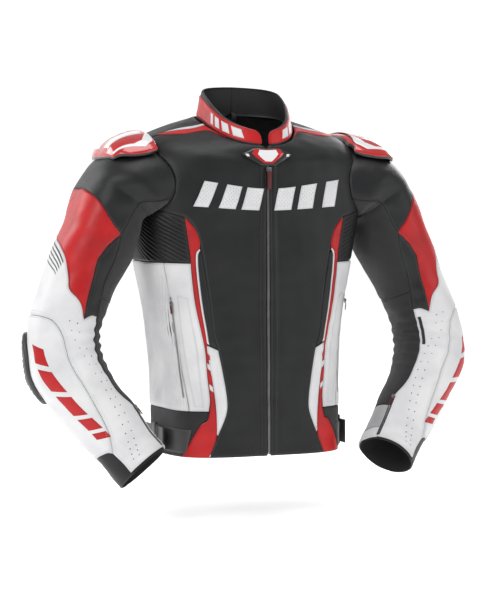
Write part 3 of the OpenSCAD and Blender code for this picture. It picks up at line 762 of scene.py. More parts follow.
def block(name, parts, bevel=0.8, segments=3):
    """Boxes with rounded edges in one mesh: each part is (centre, size) in design millimetres."""
    verts, faces = [], []
    for centre, size in parts:
        n = len(verts)
        verts += [np.array(centre) + np.array(size) / 2 * (i, j, k) for i in (-1, 1) for j in (-1, 1) for k in (-1,
        1)]
        faces += [[n + q for q in f] for f in
                  ((0, 1, 3, 2), (4, 6, 7, 5), (0, 4, 5, 1), (2, 3, 7, 6), (0, 2, 6, 4), (1, 5, 7, 3))]
    mesh = bpy.data.meshes.new(name)
    mesh.from_pydata((np.array(verts) - HANG) * MM, [], faces)
    fix_normals(mesh)
    piece = bpy.data.objects.new(name, mesh)
    bpy.context.collection.objects.link(piece)
    round_off = piece.modifiers.new("round_off", "BEVEL")
    round_off.width, round_off.segments = bevel * MM, segments
    round_off.limit_method = "ANGLE"
    settle(piece)
    return piece


def settle(piece):
    """Turns a piece's modifiers into its plain mesh."""
    bpy.context.view_layer.update()
    made = bpy.data.meshes.new_from_object(piece.evaluated_get(bpy.context.evaluated_depsgraph_get()))
    piece.modifiers.clear()
    piece.data = made
    made.shade_smooth()
    made.set_sharp_from_angle(angle=np.radians(40))
    return piece


STRAP_H = 28
for side, tag in ((1, "L"), (-1, "R")):
    ys = np.linspace(-64, 28, 24)
    strap = strip("waist_strap_" + tag, [(side * (162.8 + 0.6 * np.sin(y / 14)), y, STRAP_H) for y in ys],
                  (0, 0, 1), 40, 1.9)
    lay(strap, strap_web, "waist_strap_" + tag, "webbing", "waist_strap_" + tag)
    anchor = cut("strap_anchor_" + tag, torso_skin,
                 sides((54, 8), (51, 46), (74, 48), (74, 8)),
                 side, 3, 1.6, 1.2, 0, 0.6)
    lay(anchor, strap_web, "jacket_body", "webbing")
    sew(anchor, 2.4)
    keeper = [((side * 163.8, y, STRAP_H), (6.4, 1.8, 50)) for y in (-33, -23)]
    keeper += [((side * (163.8 + dx), -28, STRAP_H + dz), (wx, 11.5, wz)) for dx, dz, wx, wz in
               ((3.1, 0, 1.8, 50), (0, 24, 6.4, 1.8), (0, -24, 6.4, 1.8))]
    holder = block("waist_keeper_" + tag, keeper[2:], 0.7)
    lay(holder, buckle_plastic, "jacket_body", "dark_plastic", *(["waist_buckles"] if side > 0 else []))

# ---------------------------------------------------------------- Back
# The back is black cowhide: a yoke in two halves over the shoulders, a long panel with an
# accordion across the shoulder blades, and a stretch panel over the small of the back.
for side, tag in ((1, "L"), (-1, "R")):
    rear = [(180 - t, h) for t, h in hole_line(4, 136)]
    yoke = cut("back_yoke_" + tag, torso_skin,
               [[(86, 525), (70, 564)], [(70, 564), (180, 564)], [(180, 564), (180, 396)],
                [(180, 396), (150, 399), (119, 404)], rear[::-1]], side, 4.4)
    fold = cut("back_accordion_" + tag, torso_skin,
               [[(119, 403), (150, 398), (180, 395)], [(180, 395), (180, 345)], [(180, 345), (SIDE_BACK, 352)],
                [(SIDE_BACK, 352), (SIDE_BACK, 403)]], side, 2.2, relief=accordion(7.5, 0.0, 2.3))
    long = cut("back_leather_" + tag, torso_skin,
               closed([(SIDE_BACK, 351)], [(180, 344)], [(180, 131), (150, 140)], [(SIDE_BACK, 150)]), side, 4.4)
    low = cut("back_stretch_" + tag, torso_skin,
              closed([(SIDE_BACK, 149), (150, 139)], [(180, 130)], [(180, 1)],
                  [(SIDE_BACK, 1)]), side, 2.2, lift=-0.5, relief=accordion(6.0, 0.0, 1.5))
    for panel, made, finish, nodes in (
            (yoke, black_leather, "black_leather", ["back_yoke_" + tag]),
            (fold, ribbed_black, "black_leather", []), (long, black_leather, "black_leather", ["back_panel"]),
            (low, knit_black, "stretch_knit", ["back_stretch"])):
        lay(panel, made, "jacket_body", finish, *(nodes if side > 0 or panel is yoke else []))
        sew(panel)
    punch(long, lattice(long, 7.5, 12))

# ---------------------------------------------------------------- Shoulder flashes and collar
# A red flash with a white edge runs from each side of the collar out along the shoulder.
# The stand collar is red leather over a taller soft black band, rounded at the front.
for side, tag in ((1, "L"), (-1, "R")):
    red = cut("shoulder_flash_red_" + tag, torso_skin,
              closed([(36, 563.5), (53, 562), (62, 557), (67, 549), (76, 541)],
                     [(83, 538), (80, 543), (76, 549), (70, 556)], [(66, 563.5)]),
              side, 3, 0.9, 0.7, 0, 0.35)
    white = cut("shoulder_flash_white_" + tag, torso_skin,
                closed([(66.2, 563.5), (70, 556), (76, 549)], [(80, 543.5), (78, 550.5), (74, 557.5)],
                       [(70.5, 563.5)]), side, 3, 0.9, 0.9, 0, 0.35)
    for panel, made, finish, thread in ((red, red_leather, "red_leather", "red_thread"),
                                        (white, white_leather, "white_leather", "pale_thread")):
        lay(panel, made, "jacket_body", finish, *(["shoulder_chevrons"] if side > 0 and panel is red else []))
        sew(panel, 1.5, thread)

COLLAR_H, COLLAR_DROP = 37, 13


def collar(t, v):
    t, v = np.broadcast_arrays(np.asarray(t, float), np.asarray(v, float))
    p = torso(t, NECK_H + 0 * t)
    h = COLLAR_H - COLLAR_DROP * ((1 + np.cos(np.radians(t))) / 2) ** 2
    return np.stack([p[..., 0] * (1 - 0.08 * v), p[..., 1] + (-23 - p[..., 1]) * 0.08 * v, p[..., 2] + h * v], -1)


collar_skin = skin_of(collar, 1.0, 0.02, lambda p, t, v: waves(p, 6, 60, 0.5))
soft_collar = leather("soft_collar", (0.016, 0.016, 0.017), (0.010, 0.010, 0.011), (0.04, 0.04, 0.042), 0.5)
for side, tag in ((1, "L"), (-1, "R")):
    band = cut("collar_red_" + tag, collar_skin,
               closed([(3.4, 0.03), (40, 0.01), (90, 0.01)], [(180, 0.01)],
                      [(180, 0.93), (100, 0.95), (40, 0.97)], [(17, 0.98), (8, 0.9), (4.4, 0.66), (3.4, 0.3)]),
               side, 2.8, 1.6, 0.9, 0, 0.9)
    inner = cut("collar_soft_" + tag, collar_skin,
                closed([(4.4, -0.1), (90, -0.1)], [(180, -0.1)], [(180, 1.2), (100, 1.17), (40, 1.06)],
                       [(19, 1.03), (9, 0.95), (5, 0.7), (4.4, 0.3)]), side, 2.8, 2.6, -0.9, 0, 1.2)
    band["piece"].data.materials.append(red_leather)
    inner["piece"].data.materials.append(soft_collar)
    carry(band["piece"], "jacket_body", "red_leather", *(["collar_band"] if side > 0 else []))
    carry(inner["piece"], "jacket_body", "black_leather")
    sew(band, 2.0, "red_thread")
    for k, (mid, half) in enumerate(((24, 5.2), (37, 4.2), (48, 3.2), (57, 2.2))):
        bar = cut("collar_bar_%s_%d" % (tag, k), collar_skin,
                  sides((mid - half, 0.22), (mid + half, 0.22), (mid + half + 3, 0.76), (mid - half + 3, 0.76)),
                  side, 2.5, 0.7, 1.3, 0, 0.3)
        lay(bar, white_leather, "jacket_body", "white_leather")

# ---------------------------------------------------------------- Chest bars and badge
# Slanted white bars across the chest, perforated and sewn on, and a moulded badge over the
# top of the zip: a black plate, a red shield on it and a plain white field.
BARS = [(-43.5, 3.5), (-29.5, 5), (-14, 6.5), (11, 6.5), (27, 5), (41.5, 3.5)]
for k, (mid, half) in enumerate(BARS):
    bar = cut("chest_bar_%d" % k, torso_skin,
              sides((mid - half, 420), (mid + half, 420), (mid + half + 4, 474), (mid - half + 4, 474)),
              1, 3, 1.6, 2.0, 0, 0.5)
    lay(bar, white_leather, "jacket_body", "white_leather", *(["chest_bars"] if k == 0 else []))
    sew(bar, 1.6, "pale_thread")
    punch(bar, lattice(bar, 6.0, 3.4))


def plastic(name, colour, deep, gloss, **constants):
    made, tree, shader = material(name, **constants)
    spot = node(tree, "ShaderNodeTexCoord")
    haze = node(tree, "ShaderNodeTexNoise", in_2=60.0, in_3=5.0)
    scuffs = node(tree, "ShaderNodeTexNoise", in_2=900.0, in_3=2.0)
    tint = node(tree, "ShaderNodeMix", data_type="RGBA")
    tint.inputs["A"].default_value, tint.inputs["B"].default_value = (*colour, 1), (*deep, 1)
    polish = node(tree, "ShaderNodeMapRange", in_3=gloss, in_4=gloss + 0.14)
    bump = node(tree, "ShaderNodeBump")
    bump.inputs["Strength"].default_value = 0.08
    bump.inputs["Distance"].default_value = 0.0003
    wire(tree, (spot.outputs["Object"], haze.inputs["Vector"]), (spot.outputs["Object"], scuffs.inputs["Vector"]),
         (haze.outputs["Fac"], tint.inputs["Factor"]), (haze.outputs["Fac"], polish.inputs["Value"]),
         (polish.outputs["Result"], shader.inputs["Roughness"]), (tint.outputs["Result"],
             shader.inputs["Base Color"]),
         (scuffs.outputs["Fac"], bump.inputs["Height"]), (bump.outputs["Normal"], shader.inputs["Normal"]))
    return made


red_gloss = plastic("red_gloss_shell", (0.55, 0.008, 0.010), (0.42, 0.005, 0.007), 0.12, coat_weight=0.8,
    coat_roughness=0.08)
white_gloss = plastic("white_gloss_shell", (0.82, 0.82, 0.82), (0.74, 0.74, 0.75), 0.16, coat_weight=0.6,
    coat_roughness=0.1)
black_gloss = plastic("black_gloss_shell", (0.012, 0.012, 0.013), (0.02, 0.02, 0.021), 0.22, coat_weight=0.3,
    coat_roughness=0.15)
maroon = plastic("dark_red_rubber", (0.10, 0.006, 0.008), (0.07, 0.004, 0.006), 0.4)
metal = plastic("gunmetal", (0.28, 0.28, 0.29), (0.18, 0.18, 0.19), 0.26, metallic=1.0)


def mirrored(half):
    return half + [(-t, h) for t, h in half[::-1]]


def plate(name, skin, corners, made, finish, lift, thick, body="jacket_body", side=1, step=2.0, nodes=(), roll=0.5):
    """A moulded plate with straight sides, its edge eased."""
    shell = cut(name, skin, sides(*corners), side, step, thick, lift, 0, roll, angle=50)
    lay(shell, made, body, finish, *nodes)
    return shell


plate("zip_badge_base", torso_skin, mirrored([(8, 557.5), (12, 556), (20.5, 546), (20, 544), (6, 531.5)]),
    black_gloss,
      "dark_plastic", 4.0, 2.8, nodes=["zip_badge"], roll=0.9)
plate("zip_badge_shield", torso_skin, mirrored([(10.5, 556), (13.5, 549), (4, 534.5)]), red_gloss, "red_plastic",
    5.0, 1.3, step=1.6)
plate("zip_badge_field", torso_skin, mirrored([(7, 555), (8.6, 549), (2.6, 537.5)]), white_gloss, "red_plastic",
    5.7, 0.9, step=1.4)
for k, a in enumerate((-1, 1)):
    plate("zip_badge_tip_%d" % k, torso_skin, [(a * 15.2, 543.5), (a * 16.2, 547), (a * 18.6, 545.8), (a * 17.4,
        543.0)],
          white_gloss, "dark_plastic", 4.5, 0.7, step=1.2, roll=0)

# ---------------------------------------------------------------- Main zip
# Two woven tapes behind the front edges carry the teeth; a die-cast slider runs on them and
# a moulded rubber pull hangs from it on a pin.
zip_tape = cloth("zip_tape", (0.020, 0.020, 0.021), (0.008, 0.008, 0.009), 90, 0.5, 0.7)
for side, tag in ((1, "L"), (-1, "R")):
    tape = cut("zip_tape_" + tag, torso_skin, sides((0.5, 3), (0.5, 560), (6.5, 560), (6.5, 3)), side, 4, 0.8, -2.2,
        0, 0)
    lay(tape, zip_tape, "jacket_body", "zip_tape", *(["zip_tapes"] if side > 0 else []))


def grow(name, tree, points=None, edges=(), facing=None, **inputs):
    """Runs one of the repeating trees over points or rows, and keeps the plain mesh it makes."""
    seed = bpy.data.meshes.new(name)
    seed.from_pydata((np.asarray(points) - HANG) * MM, edges, [])
    if facing is not None:
        seed.attributes.new("facing", "FLOAT_VECTOR", "POINT").data.foreach_set("vector",
            np.asarray(facing).ravel())
    piece = bpy.data.objects.new(name, seed)
    bpy.context.collection.objects.link(piece)
    maker = piece.modifiers.new("maker", "NODES")
    maker.node_group = tree
    for item in tree.interface.items_tree:
        if item.in_out == "INPUT" and item.name in inputs:
            maker[item.identifier] = inputs[item.name]
    bpy.context.view_layer.update()
    made = bpy.data.meshes.new_from_object(piece.evaluated_get(bpy.context.evaluated_depsgraph_get()))
    piece.modifiers.clear()
    piece.data = made
    return piece


def tree_of(name, *inputs):
    tree = bpy.data.node_groups.new(name, "GeometryNodeTree")
    tree.interface.new_socket("Path", in_out="INPUT", socket_type="NodeSocketGeometry")
    for label, kind, value in inputs:
        made = tree.interface.new_socket(label, in_out="INPUT", socket_type="NodeSocket" + kind)
        if value is not None:
            made.default_value = value
    tree.interface.new_socket("Made", in_out="OUTPUT", socket_type="NodeSocketGeometry")
    return tree, tree.nodes.new("NodeGroupInput").outputs, tree.nodes.new("NodeGroupOutput").inputs


def finish_tree(tree, placed, material_in, made_out):
    real = node(tree, "GeometryNodeRealizeInstances")
    dress = node(tree, "GeometryNodeSetMaterial")
    wire(tree, (placed, real.inputs["Geometry"]), (real.outputs["Geometry"], dress.inputs["Geometry"]),
         (material_in, dress.inputs["Material"]), (dress.outputs["Geometry"], made_out))


# Rows of small blocks along a path: zip teeth
zip_row, given, out = tree_of("zip_teeth_row", ("Pitch", "Float", 0.002), ("Wide", "Float", 0.0024),
                              ("Deep", "Float", 0.0014), ("High", "Float", 0.0011), ("Metal", "Material", None))
course = node(zip_row, "GeometryNodeMeshToCurve")
spaced = node(zip_row, "GeometryNodeResampleCurve")
spaced.mode = "LENGTH"
tooth = node(zip_row, "GeometryNodeMeshCube")
size = node(zip_row, "ShaderNodeCombineXYZ")
aim = node(zip_row, "FunctionNodeAlignRotationToVector", axis="Z")
tangent = node(zip_row, "GeometryNodeInputTangent")
placed = node(zip_row, "GeometryNodeInstanceOnPoints")
wire(zip_row, (given["Path"], course.inputs["Mesh"]), (course.outputs["Curve"], spaced.inputs["Curve"]),
     (given["Pitch"], spaced.inputs["Length"]), (given["Wide"], size.inputs[0]), (given["Deep"], size.inputs[1]),
     (given["High"], size.inputs[2]), (size.outputs[0], tooth.inputs["Size"]), (spaced.outputs["Curve"],
         placed.inputs["Points"]),
     (tooth.outputs["Mesh"], placed.inputs["Instance"]), (tangent.outputs[0], aim.inputs["Vector"]),
     (aim.outputs["Rotation"], placed.inputs["Rotation"]))
finish_tree(zip_row, placed.outputs["Instances"], given["Metal"], out["Made"])


def teeth(name, lines, material, pitch=2.0, wide=2.4, deep=1.4, high=1.1):
    points = np.vstack(lines)
    edges, n = [], 0
    for line in lines:
        edges += [(n + i, n + i + 1) for i in range(len(line) - 1)]
        n += len(line)
    return grow(name, zip_row, points, edges, Pitch=pitch * MM, Wide=wide * MM, Deep=deep * MM, High=high * MM,
        Metal=material)


hs = np.linspace(5, 556, 140)
main_rows = [torso_skin(0 * hs, hs, -1.6)[0] * [0, 1, 1] + [dx, 0, dz] for dx, dz in ((-1.0, 0), (1.0, 1.0))]
main_teeth = teeth("zip_teeth_main", main_rows, metal)
carry(main_teeth, "jacket_body", "zip_metal", "zip_teeth")

SLIDER_Z = 470
FRONT_Y = float(torso(0, 523)[1])
PIN_OUT = 5.2
slider = block("zip_slider_body", [((0, FRONT_Y - 1.9, SLIDER_Z + 2), (8.6, 2.4, 6.5)),
    ((0, FRONT_Y - 1.9, SLIDER_Z - 3.2), (6.4, 2.4, 5)),
                                   ((-2.9, FRONT_Y - 4.6, SLIDER_Z), (1.1, 3.6, 4.6)), ((2.9, FRONT_Y - 4.6,
                                       SLIDER_Z), (1.1, 3.6, 4.6)),
                                   ((0, FRONT_Y - PIN_OUT, SLIDER_Z), (6.4, 1.0, 1.0))], 0.35, 2)
lay(slider, metal, "zip_slider", "zip_metal", "zip_slider")
pull_line = [(0, FRONT_Y - PIN_OUT - 0.5 * np.sin(k / 12 * np.pi), SLIDER_Z - 1.5 - 29 * k / 12) for k in range(13)]
pull = strip("zip_pull_rubber", pull_line, (1, 0, 0), 6.4, 2.6, 0.25)
lay(pull, maroon, "zip_pull", "pull_rubber", "zip_pull")
eye = block("zip_pull_eye", [((-1.6, FRONT_Y - PIN_OUT, SLIDER_Z), (0.9, 2.8, 3.4)), ((1.6, FRONT_Y - PIN_OUT,
    SLIDER_Z), (0.9, 2.8, 3.4)),
                             ((0, FRONT_Y - PIN_OUT, SLIDER_Z - 2.0), (4.0, 1.6, 1.0))], 0.3, 2)
lay(eye, metal, "zip_pull", "pull_rubber")
ribs = block("zip_pull_ribs", [((0, FRONT_Y - PIN_OUT - 1.7, SLIDER_Z - z), (4.6, 0.7, 0.9)) for z in (16, 18.5, 21,
    23.5, 26)], 0.25, 2)
lay(ribs, maroon, "zip_pull", "pull_rubber")

# ---------------------------------------------------------------- Inside the body
# A foam back protector in a pocket of the lining, the webbing hanging loop, and the long
# zip inside the back hem that joins the jacket to its trousers.
foam = cloth("armour_foam", (0.62, 0.44, 0.07), (0.46, 0.32, 0.05), 12, 0.7, 0.82)


def cells(x, y, d, u, v):
    """Moulded six-sided cells: grooves a few millimetres apart in the foam."""
    a = np.cos(2 * np.pi * x / 26) + np.cos(2 * np.pi * (x / 2 + y * 0.866) / 26) + np.cos(2 * np.pi * (x / 2 - y
        * 0.866) / 26)
    return 1.6 * np.clip((a + 1.5) / 1.6, 0, 1) * np.clip(d / 8, 0, 1) - 2.4 * (1 - np.clip(d / 7, 0, 1)) ** 2


guard = cut("back_protector_pad", torso_skin,
            closed([(146, 92), (180, 88)], [(214, 92), (213, 280)], [(204, 470), (180, 480)],
                   [(156, 470), (147, 280)]), 1, 4, 9, -10.5, 0, 2.2, relief=cells)
lay(guard, foam, "jacket_body", "pad_foam", "back_protector")

webbing = cloth("woven_webbing", (0.024, 0.024, 0.026), (0.010, 0.010, 0.011), 55, 0.7, 0.68)
angles = np.radians(np.linspace(45, 405, 40))
loop_line = [(0, 46 + 8.3 * np.cos(a), 562 + 8.3 * np.sin(a)) for a in angles]
hanger = strip("hanger_loop_webbing", loop_line + [(0, 54.4, 568.4), (0, 57.5, 569.0), (0, 60.2, 569.2)], (1, 0, 0),
    8, 1.3)
lay(hanger, webbing, "jacket_body", "webbing", "hanger_loop")

ts = np.linspace(141, 219, 60)
join_tape = cut("connection_zip_tape", torso_skin, sides((140, 13), (220, 13), (220, 27), (140, 27)),
                1, 4, 0.8, -8, 0, 0)
lay(join_tape, zip_tape, "jacket_body", "zip_tape", "connection_zip")
join_teeth = teeth("connection_zip_teeth", [torso_skin(ts, 20 + dz + 0 * ts, -9.6)[0] for dz in (-1.0, 1.0)], metal)
carry(join_teeth, "jacket_body", "zip_metal")

# ---------------------------------------------------------------- Sleeves
# Pre-curved sleeves drawn on rings from the shoulder to the cuff: black leather over the
# shoulder, a red biceps panel, a dark strip, white leather down the outside of the elbow
# and forearm, black stretch on the inside, and a mesh lining in two lengths.
SLEEVE = np.array([
    [196, -8, 462, 66, 80, 60, 2.2], [240, -18, 419, 55, 84, 34, 2.8], [260, -26, 360, 60, 74, 27, 2.6],
    [298, -30, 285, 57, 64, 23, 2.2], [323, -42, 215, 58, 60, 8, 2.1], [324, -58, 155, 60, 60, -12, 2.1],
    [296, -76, 100, 55, 56, -28, 2.1], [262, -92, 56, 52, 52, -36, 2.1], [234, -106, 16, 50, 49, -38, 2.1],
    [214, -120, -10, 49, 48, -38, 2.1]])


def ring_at(q, s):
    c = rows(SLEEVE, s)
    d = (rows(SLEEVE, s + 0.02) - rows(SLEEVE, s - 0.02))[..., :3]
    slant = np.radians(c[..., 5])
    out = np.stack([np.cos(slant), 0 * slant, np.sin(slant)], -1)
    ahead = np.cross(d, out)
    ahead = -ahead * np.sign(ahead[..., 1:2]) / np.linalg.norm(ahead, axis=-1, keepdims=True)
    q = np.radians(q)
    return (c[..., :3] + out * (spow(np.cos(q), 2 / c[..., 6]) * c[..., 3])[..., None]
            + ahead * (spow(np.sin(q), 2 / c[..., 6]) * c[..., 4])[..., None])


def sleeve(q, s):
    q, s = np.broadcast_arrays(np.asarray(q, float), np.asarray(s, float))
    over = torso(*loop_at(q, np.maximum(-36 * s, 0)))
    k = np.clip(s, 0, 1)[..., None]
    r = np.radians(q)[..., None]
    puff = 16 * ((1 + np.cos(r)) / 2) ** 1.5 * [0.64, 0, 0.77] - 8 * np.sin(r) * [0, 1.0, 0]
    head = over * (1 - k) + ring_at(q, 1.0 + 0 * s) * k + 4 * k * (1 - k) * puff
    return np.where((s < 1)[..., None], head, ring_at(q, np.maximum(s, 1)))


def sleeve_folds(p, q, s):
    """Soft unevenness, and the folds the leather takes inside the elbow and under the arm."""
    inner = ((1 - np.cos(np.radians(q + 25))) / 2) ** 1.5
    elbow = 1.7 * np.exp(-((s - 4.5) / 1.0) ** 2) * inner * np.sin(s * 17 + 0.03 * q)
    armpit = 2.2 * np.exp(-((s - 0.9) / 0.7) ** 2) * inner * np.sin(s * 9 + 0.035 * q)
    return (waves(p, 8, 85, 1.2) + waves(p, 9, 30, 0.3) + elbow + armpit) * np.clip(s * 4, 0.3, 1)


sleeve_skin = skin_of(sleeve, 1.0, 0.02, sleeve_folds)
UPPER_LINE = [(-40, 1.02), (-8, 1.1), (20, 1.28), (57, 1.5), (80, 1.72), (96, 1.92)]
NOTCH = [(96, 1.92), (91, 2.12), (87, 2.5)]
STRIP_LEFT = [(87, 2.5), (92, 2.9), (97, 3.4), (103, 3.88)]
STRIP_RIGHT = [(96, 1.92), (104, 2.3), (112, 2.8), (119, 3.22), (128, 3.72)]
RED_LOW = [(103, 3.88), (88, 3.5), (66, 3.3), (57, 3.08), (41, 2.76), (23, 2.58), (-13, 2.38), (-40, 2.3)]
LEATHER_EDGE = [(112, 0), (110, 0.6), (104, 1.3), (96, 1.92)]
REAR_SEAM = [(-40, 1.02), (-65, 1.35), (-90, 1.95), (-112, 2.3), (-130, 2.7)]
REAR_LOW = [(-130, 3.9), (-100, 3.75), (-75, 3.6)]
REAR_SIDE = [(-75, 3.6), (-58, 3.2), (-46, 2.7), (-40, 2.3)]
ARC = [(-75, 3.6), (-45, 3.72), (-16, 3.8), (30, 3.9), (58, 4.04), (76, 4.45), (83.5, 5.14), (87, 5.7),
       (84.5, 6.34), (75.5, 7.0), (65, 7.4), (55, 7.66)]
ZIP_SIDE = [(128, 3.72), (130, 4.1), (132, 4.7), (135, 5.5), (141, 6.3), (151, 6.95)]
NOTCH_SIDE = [(58, 8.88), (58.5, 8.2), (55, 7.66)]
NOTCH_TOP = [(55, 7.66), (44, 7.52), (14, 7.46), (-14, 7.58), (-30, 8.05), (-35, 8.88)]
silver_leather = leather("silver_patch", (0.42, 0.42, 0.43), (0.33, 0.33, 0.34), (0.2, 0.2, 0.2), 0.38)
for side, tag in ((1, "L"), (-1, "R")):
    shoulder, elbow = "shoulder_" + tag, "elbow_" + tag
    pieces = [
        ("sleeve_leather", shoulder, "black_leather", black_leather, "dark_thread", 4.0, 0, None,
            ["sleeve_head_" + tag],
         [[(-130, 0.0), (112, 0.0)], LEATHER_EDGE, UPPER_LINE[::-1], REAR_SEAM, [(-130, 2.7), (-130, 0.0)]]),
        ("underarm_stretch_sleeve", shoulder, "stretch_knit", knit_black, "dark_thread", 3.2, 0, None,
            ["sleeve_stretch_" + tag],
         [[(112, 0.0), (230, 0.0)], [(230, 0.0), (230, 3.2)], [(230, 3.2), (119, 3.22)], STRIP_RIGHT[3::-1],
             LEATHER_EDGE[::-1]]),
        ("biceps_red", elbow, "red_leather", red_leather, "red_thread", 3.6, 0, None, ["biceps_panel_" + tag],
         [UPPER_LINE, NOTCH, STRIP_LEFT, RED_LOW, [(-40, 2.3), (-40, 1.02)]]),
        ("biceps_strip", elbow, "black_leather", black_leather, "dark_thread", 3.0, 0, None, [],
         [STRIP_RIGHT, [(128, 3.72), (115, 3.74), (103, 3.88)], STRIP_LEFT[::-1], NOTCH[::-1]]),
        ("rear_leather", elbow, "black_leather", black_leather, "dark_thread", 4.0, 0, None,
            ["upper_sleeve_" + tag],
         [REAR_SEAM, [(-130, 2.7), (-130, 3.9)], REAR_LOW, REAR_SIDE, [(-40, 2.3), (-40, 1.02)]]),
        ("sleeve_white_front", elbow, "white_leather", white_leather, "pale_thread", 3.6, 0, None,
            ["elbow_stretch_" + tag],
         [RED_LOW[::-1], [(103, 3.88), (115, 3.74), (128, 3.72)], ZIP_SIDE, [(151, 6.95), (151, 8.88)],
          [(151, 8.88), (58, 8.88)], NOTCH_SIDE, ARC[::-1], REAR_SIDE]),
        ("forearm_white_outer", elbow, "white_leather", white_leather, "pale_thread", 3.8, 0, None,
            ["forearm_panel_" + tag],
         [ARC, NOTCH_TOP, [(-35, 8.88), (-130, 8.9)], [(-130, 8.9), (-130, 3.9)], REAR_LOW]),
        ("forearm_stretch_inner", elbow, "stretch_knit", knit_black, "dark_thread", 3.2, 0, None,
            ["forearm_stretch_" + tag],
         [[(119, 3.22), (230, 3.2)], [(230, 3.2), (230, 7.3)], [(230, 7.3), (151.5, 7.3)], [(151.5, 7.3),
             (151, 6.95)],
          ZIP_SIDE[::-1], [(128, 3.72), (119, 3.22)]]),
        ("cuff_patch", elbow, "white_leather", silver_leather if side > 0 else white_leather, "pale_thread", 3.0, 0,
            None, [],
         sides((151.5, 7.3), (230, 7.3), (230, 8.3), (151.5, 8.3))),
        ("cuff_band", elbow, "white_leather", white_leather, "pale_thread", 3.0, 0.3, None, [],
         sides((151.5, 8.3), (230, 8.3), (230, 8.92), (151.5, 8.92))),
        ("cuff_gusset_black", elbow, "stretch_knit", ribbed_black, "dark_thread", 2.4, -1.6, None,
            ["cuff_gusset_" + tag],
         closed([(-41, 8.99), (-36, 8.0), (-18, 7.5), (14, 7.36), (46, 7.42)], [(60, 7.6), (64, 8.2)],
                [(62, 8.99)]))]
    cuts = {}
    for name, place, finish, made, thread, step, lift, own, nodes, edges in pieces:
        panel = cut(name + "_" + tag, sleeve_skin, edges, side, step, 1.4, lift, relief=own)
        lay(panel, made, place, finish, *nodes)
        sew(panel, 2.3, thread, place)
        cuts[name] = panel
    white, outer = cuts["sleeve_white_front"], cuts["forearm_white_outer"]
    sew(white, 5.2, "pale_thread", elbow, lambda q, s: (q < 92) & (s > 3.6))
    sew(outer, 4.8, "pale_thread", elbow, lambda q, s: (s > 7.0) & (q > -45))
    # Two rows of eyelets down the front strip
    for offset in (0, 12):
        line = np.array([(81 + offset, 3.98), (93 + offset, 4.5), (106 + offset, 5.0), (114 + offset, 5.5),
            (115 + offset, 6.1),
                         (107 + offset, 6.8), (96 + offset, 7.4), (86 + offset, 8.0), (80 + offset, 8.5)])
        punch(white, evenly(smooth_line(line + [0, 0.04 * (offset > 0)]) * white["scale"], 18.5), elbow, "eyelet")
    # Fine dark lines on the white above the elbow, and a row of slanted bars on the forearm
    low = np.array([p for p in RED_LOW if p[0] < 50][::-1])
    for k in range(5):
        far = 38 - 2 * k
        base = [(q, float(np.interp(q, low[:, 0], low[:, 1])) + 0.055 + 0.085 * k) for q in np.linspace(-34 + k,
            far, 9)]
        line = cut("sleeve_line_%s_%d" % (tag, k), sleeve_skin, [base, [(q, s + 0.034 - 0.003 * k) for q,
            s in base[::-1]]],
                   side, 2.6, 0.5, 0.28, 0, 0)
        lay(line, black_leather, elbow, "black_leather")
    for k, (s0, s1) in enumerate(((4.45, 4.85), (4.98, 5.5), (5.63, 6.2), (6.33, 6.72), (6.84, 7.05))):
        qa, qb = np.interp([s0, s1], [4.4, 5.5, 6.5, 7.1], [30, 47, 58, 61])
        slope = 0.17
        bar = cut("forearm_bar_%s_%d" % (tag, k), sleeve_skin,
                  sides((qa - 12, s0), (qa + 12, s0 + slope), (qb + 12, s1 + slope),
                      (qb - 12, s1)), side, 2.6, 0.6, 0.4, 0, 0.2)
        lay(bar, red_leather, elbow, "red_leather")
    # The lining, in two lengths that meet above the elbow
    for name, place, s0, s1, n in (("sleeve_lining_upper_", shoulder, 0.02, 3.2, 26), ("sleeve_lining_lower_",
            elbow, 3.2, 8.97, 44)):
        inside_tube = tube(name + tag, sleeve_skin, s0, s1, n, 40, -3.3, 0.8, side)
        lay(inside_tube, lining_mesh, place, "lining_mesh")
    # The cuff zip: a strip of tape with a row of teeth, and its slider
    track = np.linspace(6.95, 8.75, 40)
    zip_band = cut("cuff_zip_tape_" + tag, sleeve_skin, sides((146.5, 6.95), (146.5, 8.8), (153.5, 8.8),
        (153.5, 6.95)), side, 3, 0.7, 0.35, 0, 0.2)
    lay(zip_band, zip_tape, elbow, "zip_tape")
    mirror = np.array([side, 1, 1])
    cuff_teeth = teeth("cuff_zip_teeth_" + tag, [sleeve_skin(150 + dq + 0 * track, track, 0.7)[0] * mirror
        for dq in (-0.7, 0.7)],
                       metal, 1.6, 1.5, 1.0, 0.8)
    carry(cuff_teeth, elbow, "zip_metal")

# ---------------------------------------------------------------- Armour on the sleeves
# Hard moulded cups over the shoulders, red with plain white slats on a black rim, dark sliders
# outside the elbows, and foam pads in pockets of the lining beneath both.


def dome_skin(mid_q, half_q, low_s, high_s, stand, rise):
    """The sleeve's surface lifted into a dome over a patch of it."""
    def skin(q, s, off=0.0):
        p, n = sleeve_skin(q, s)
        a = np.clip((2 * (s - low_s) / (high_s - low_s)) - 1, -1, 1)
        b = np.clip((q - mid_q) / half_q, -1, 1)
        lift = stand + rise * (1 - a ** 4) * (1 - np.abs(b) ** 2.8)
        return p + n * (lift + np.asarray(off, float))[..., None], n
    return skin


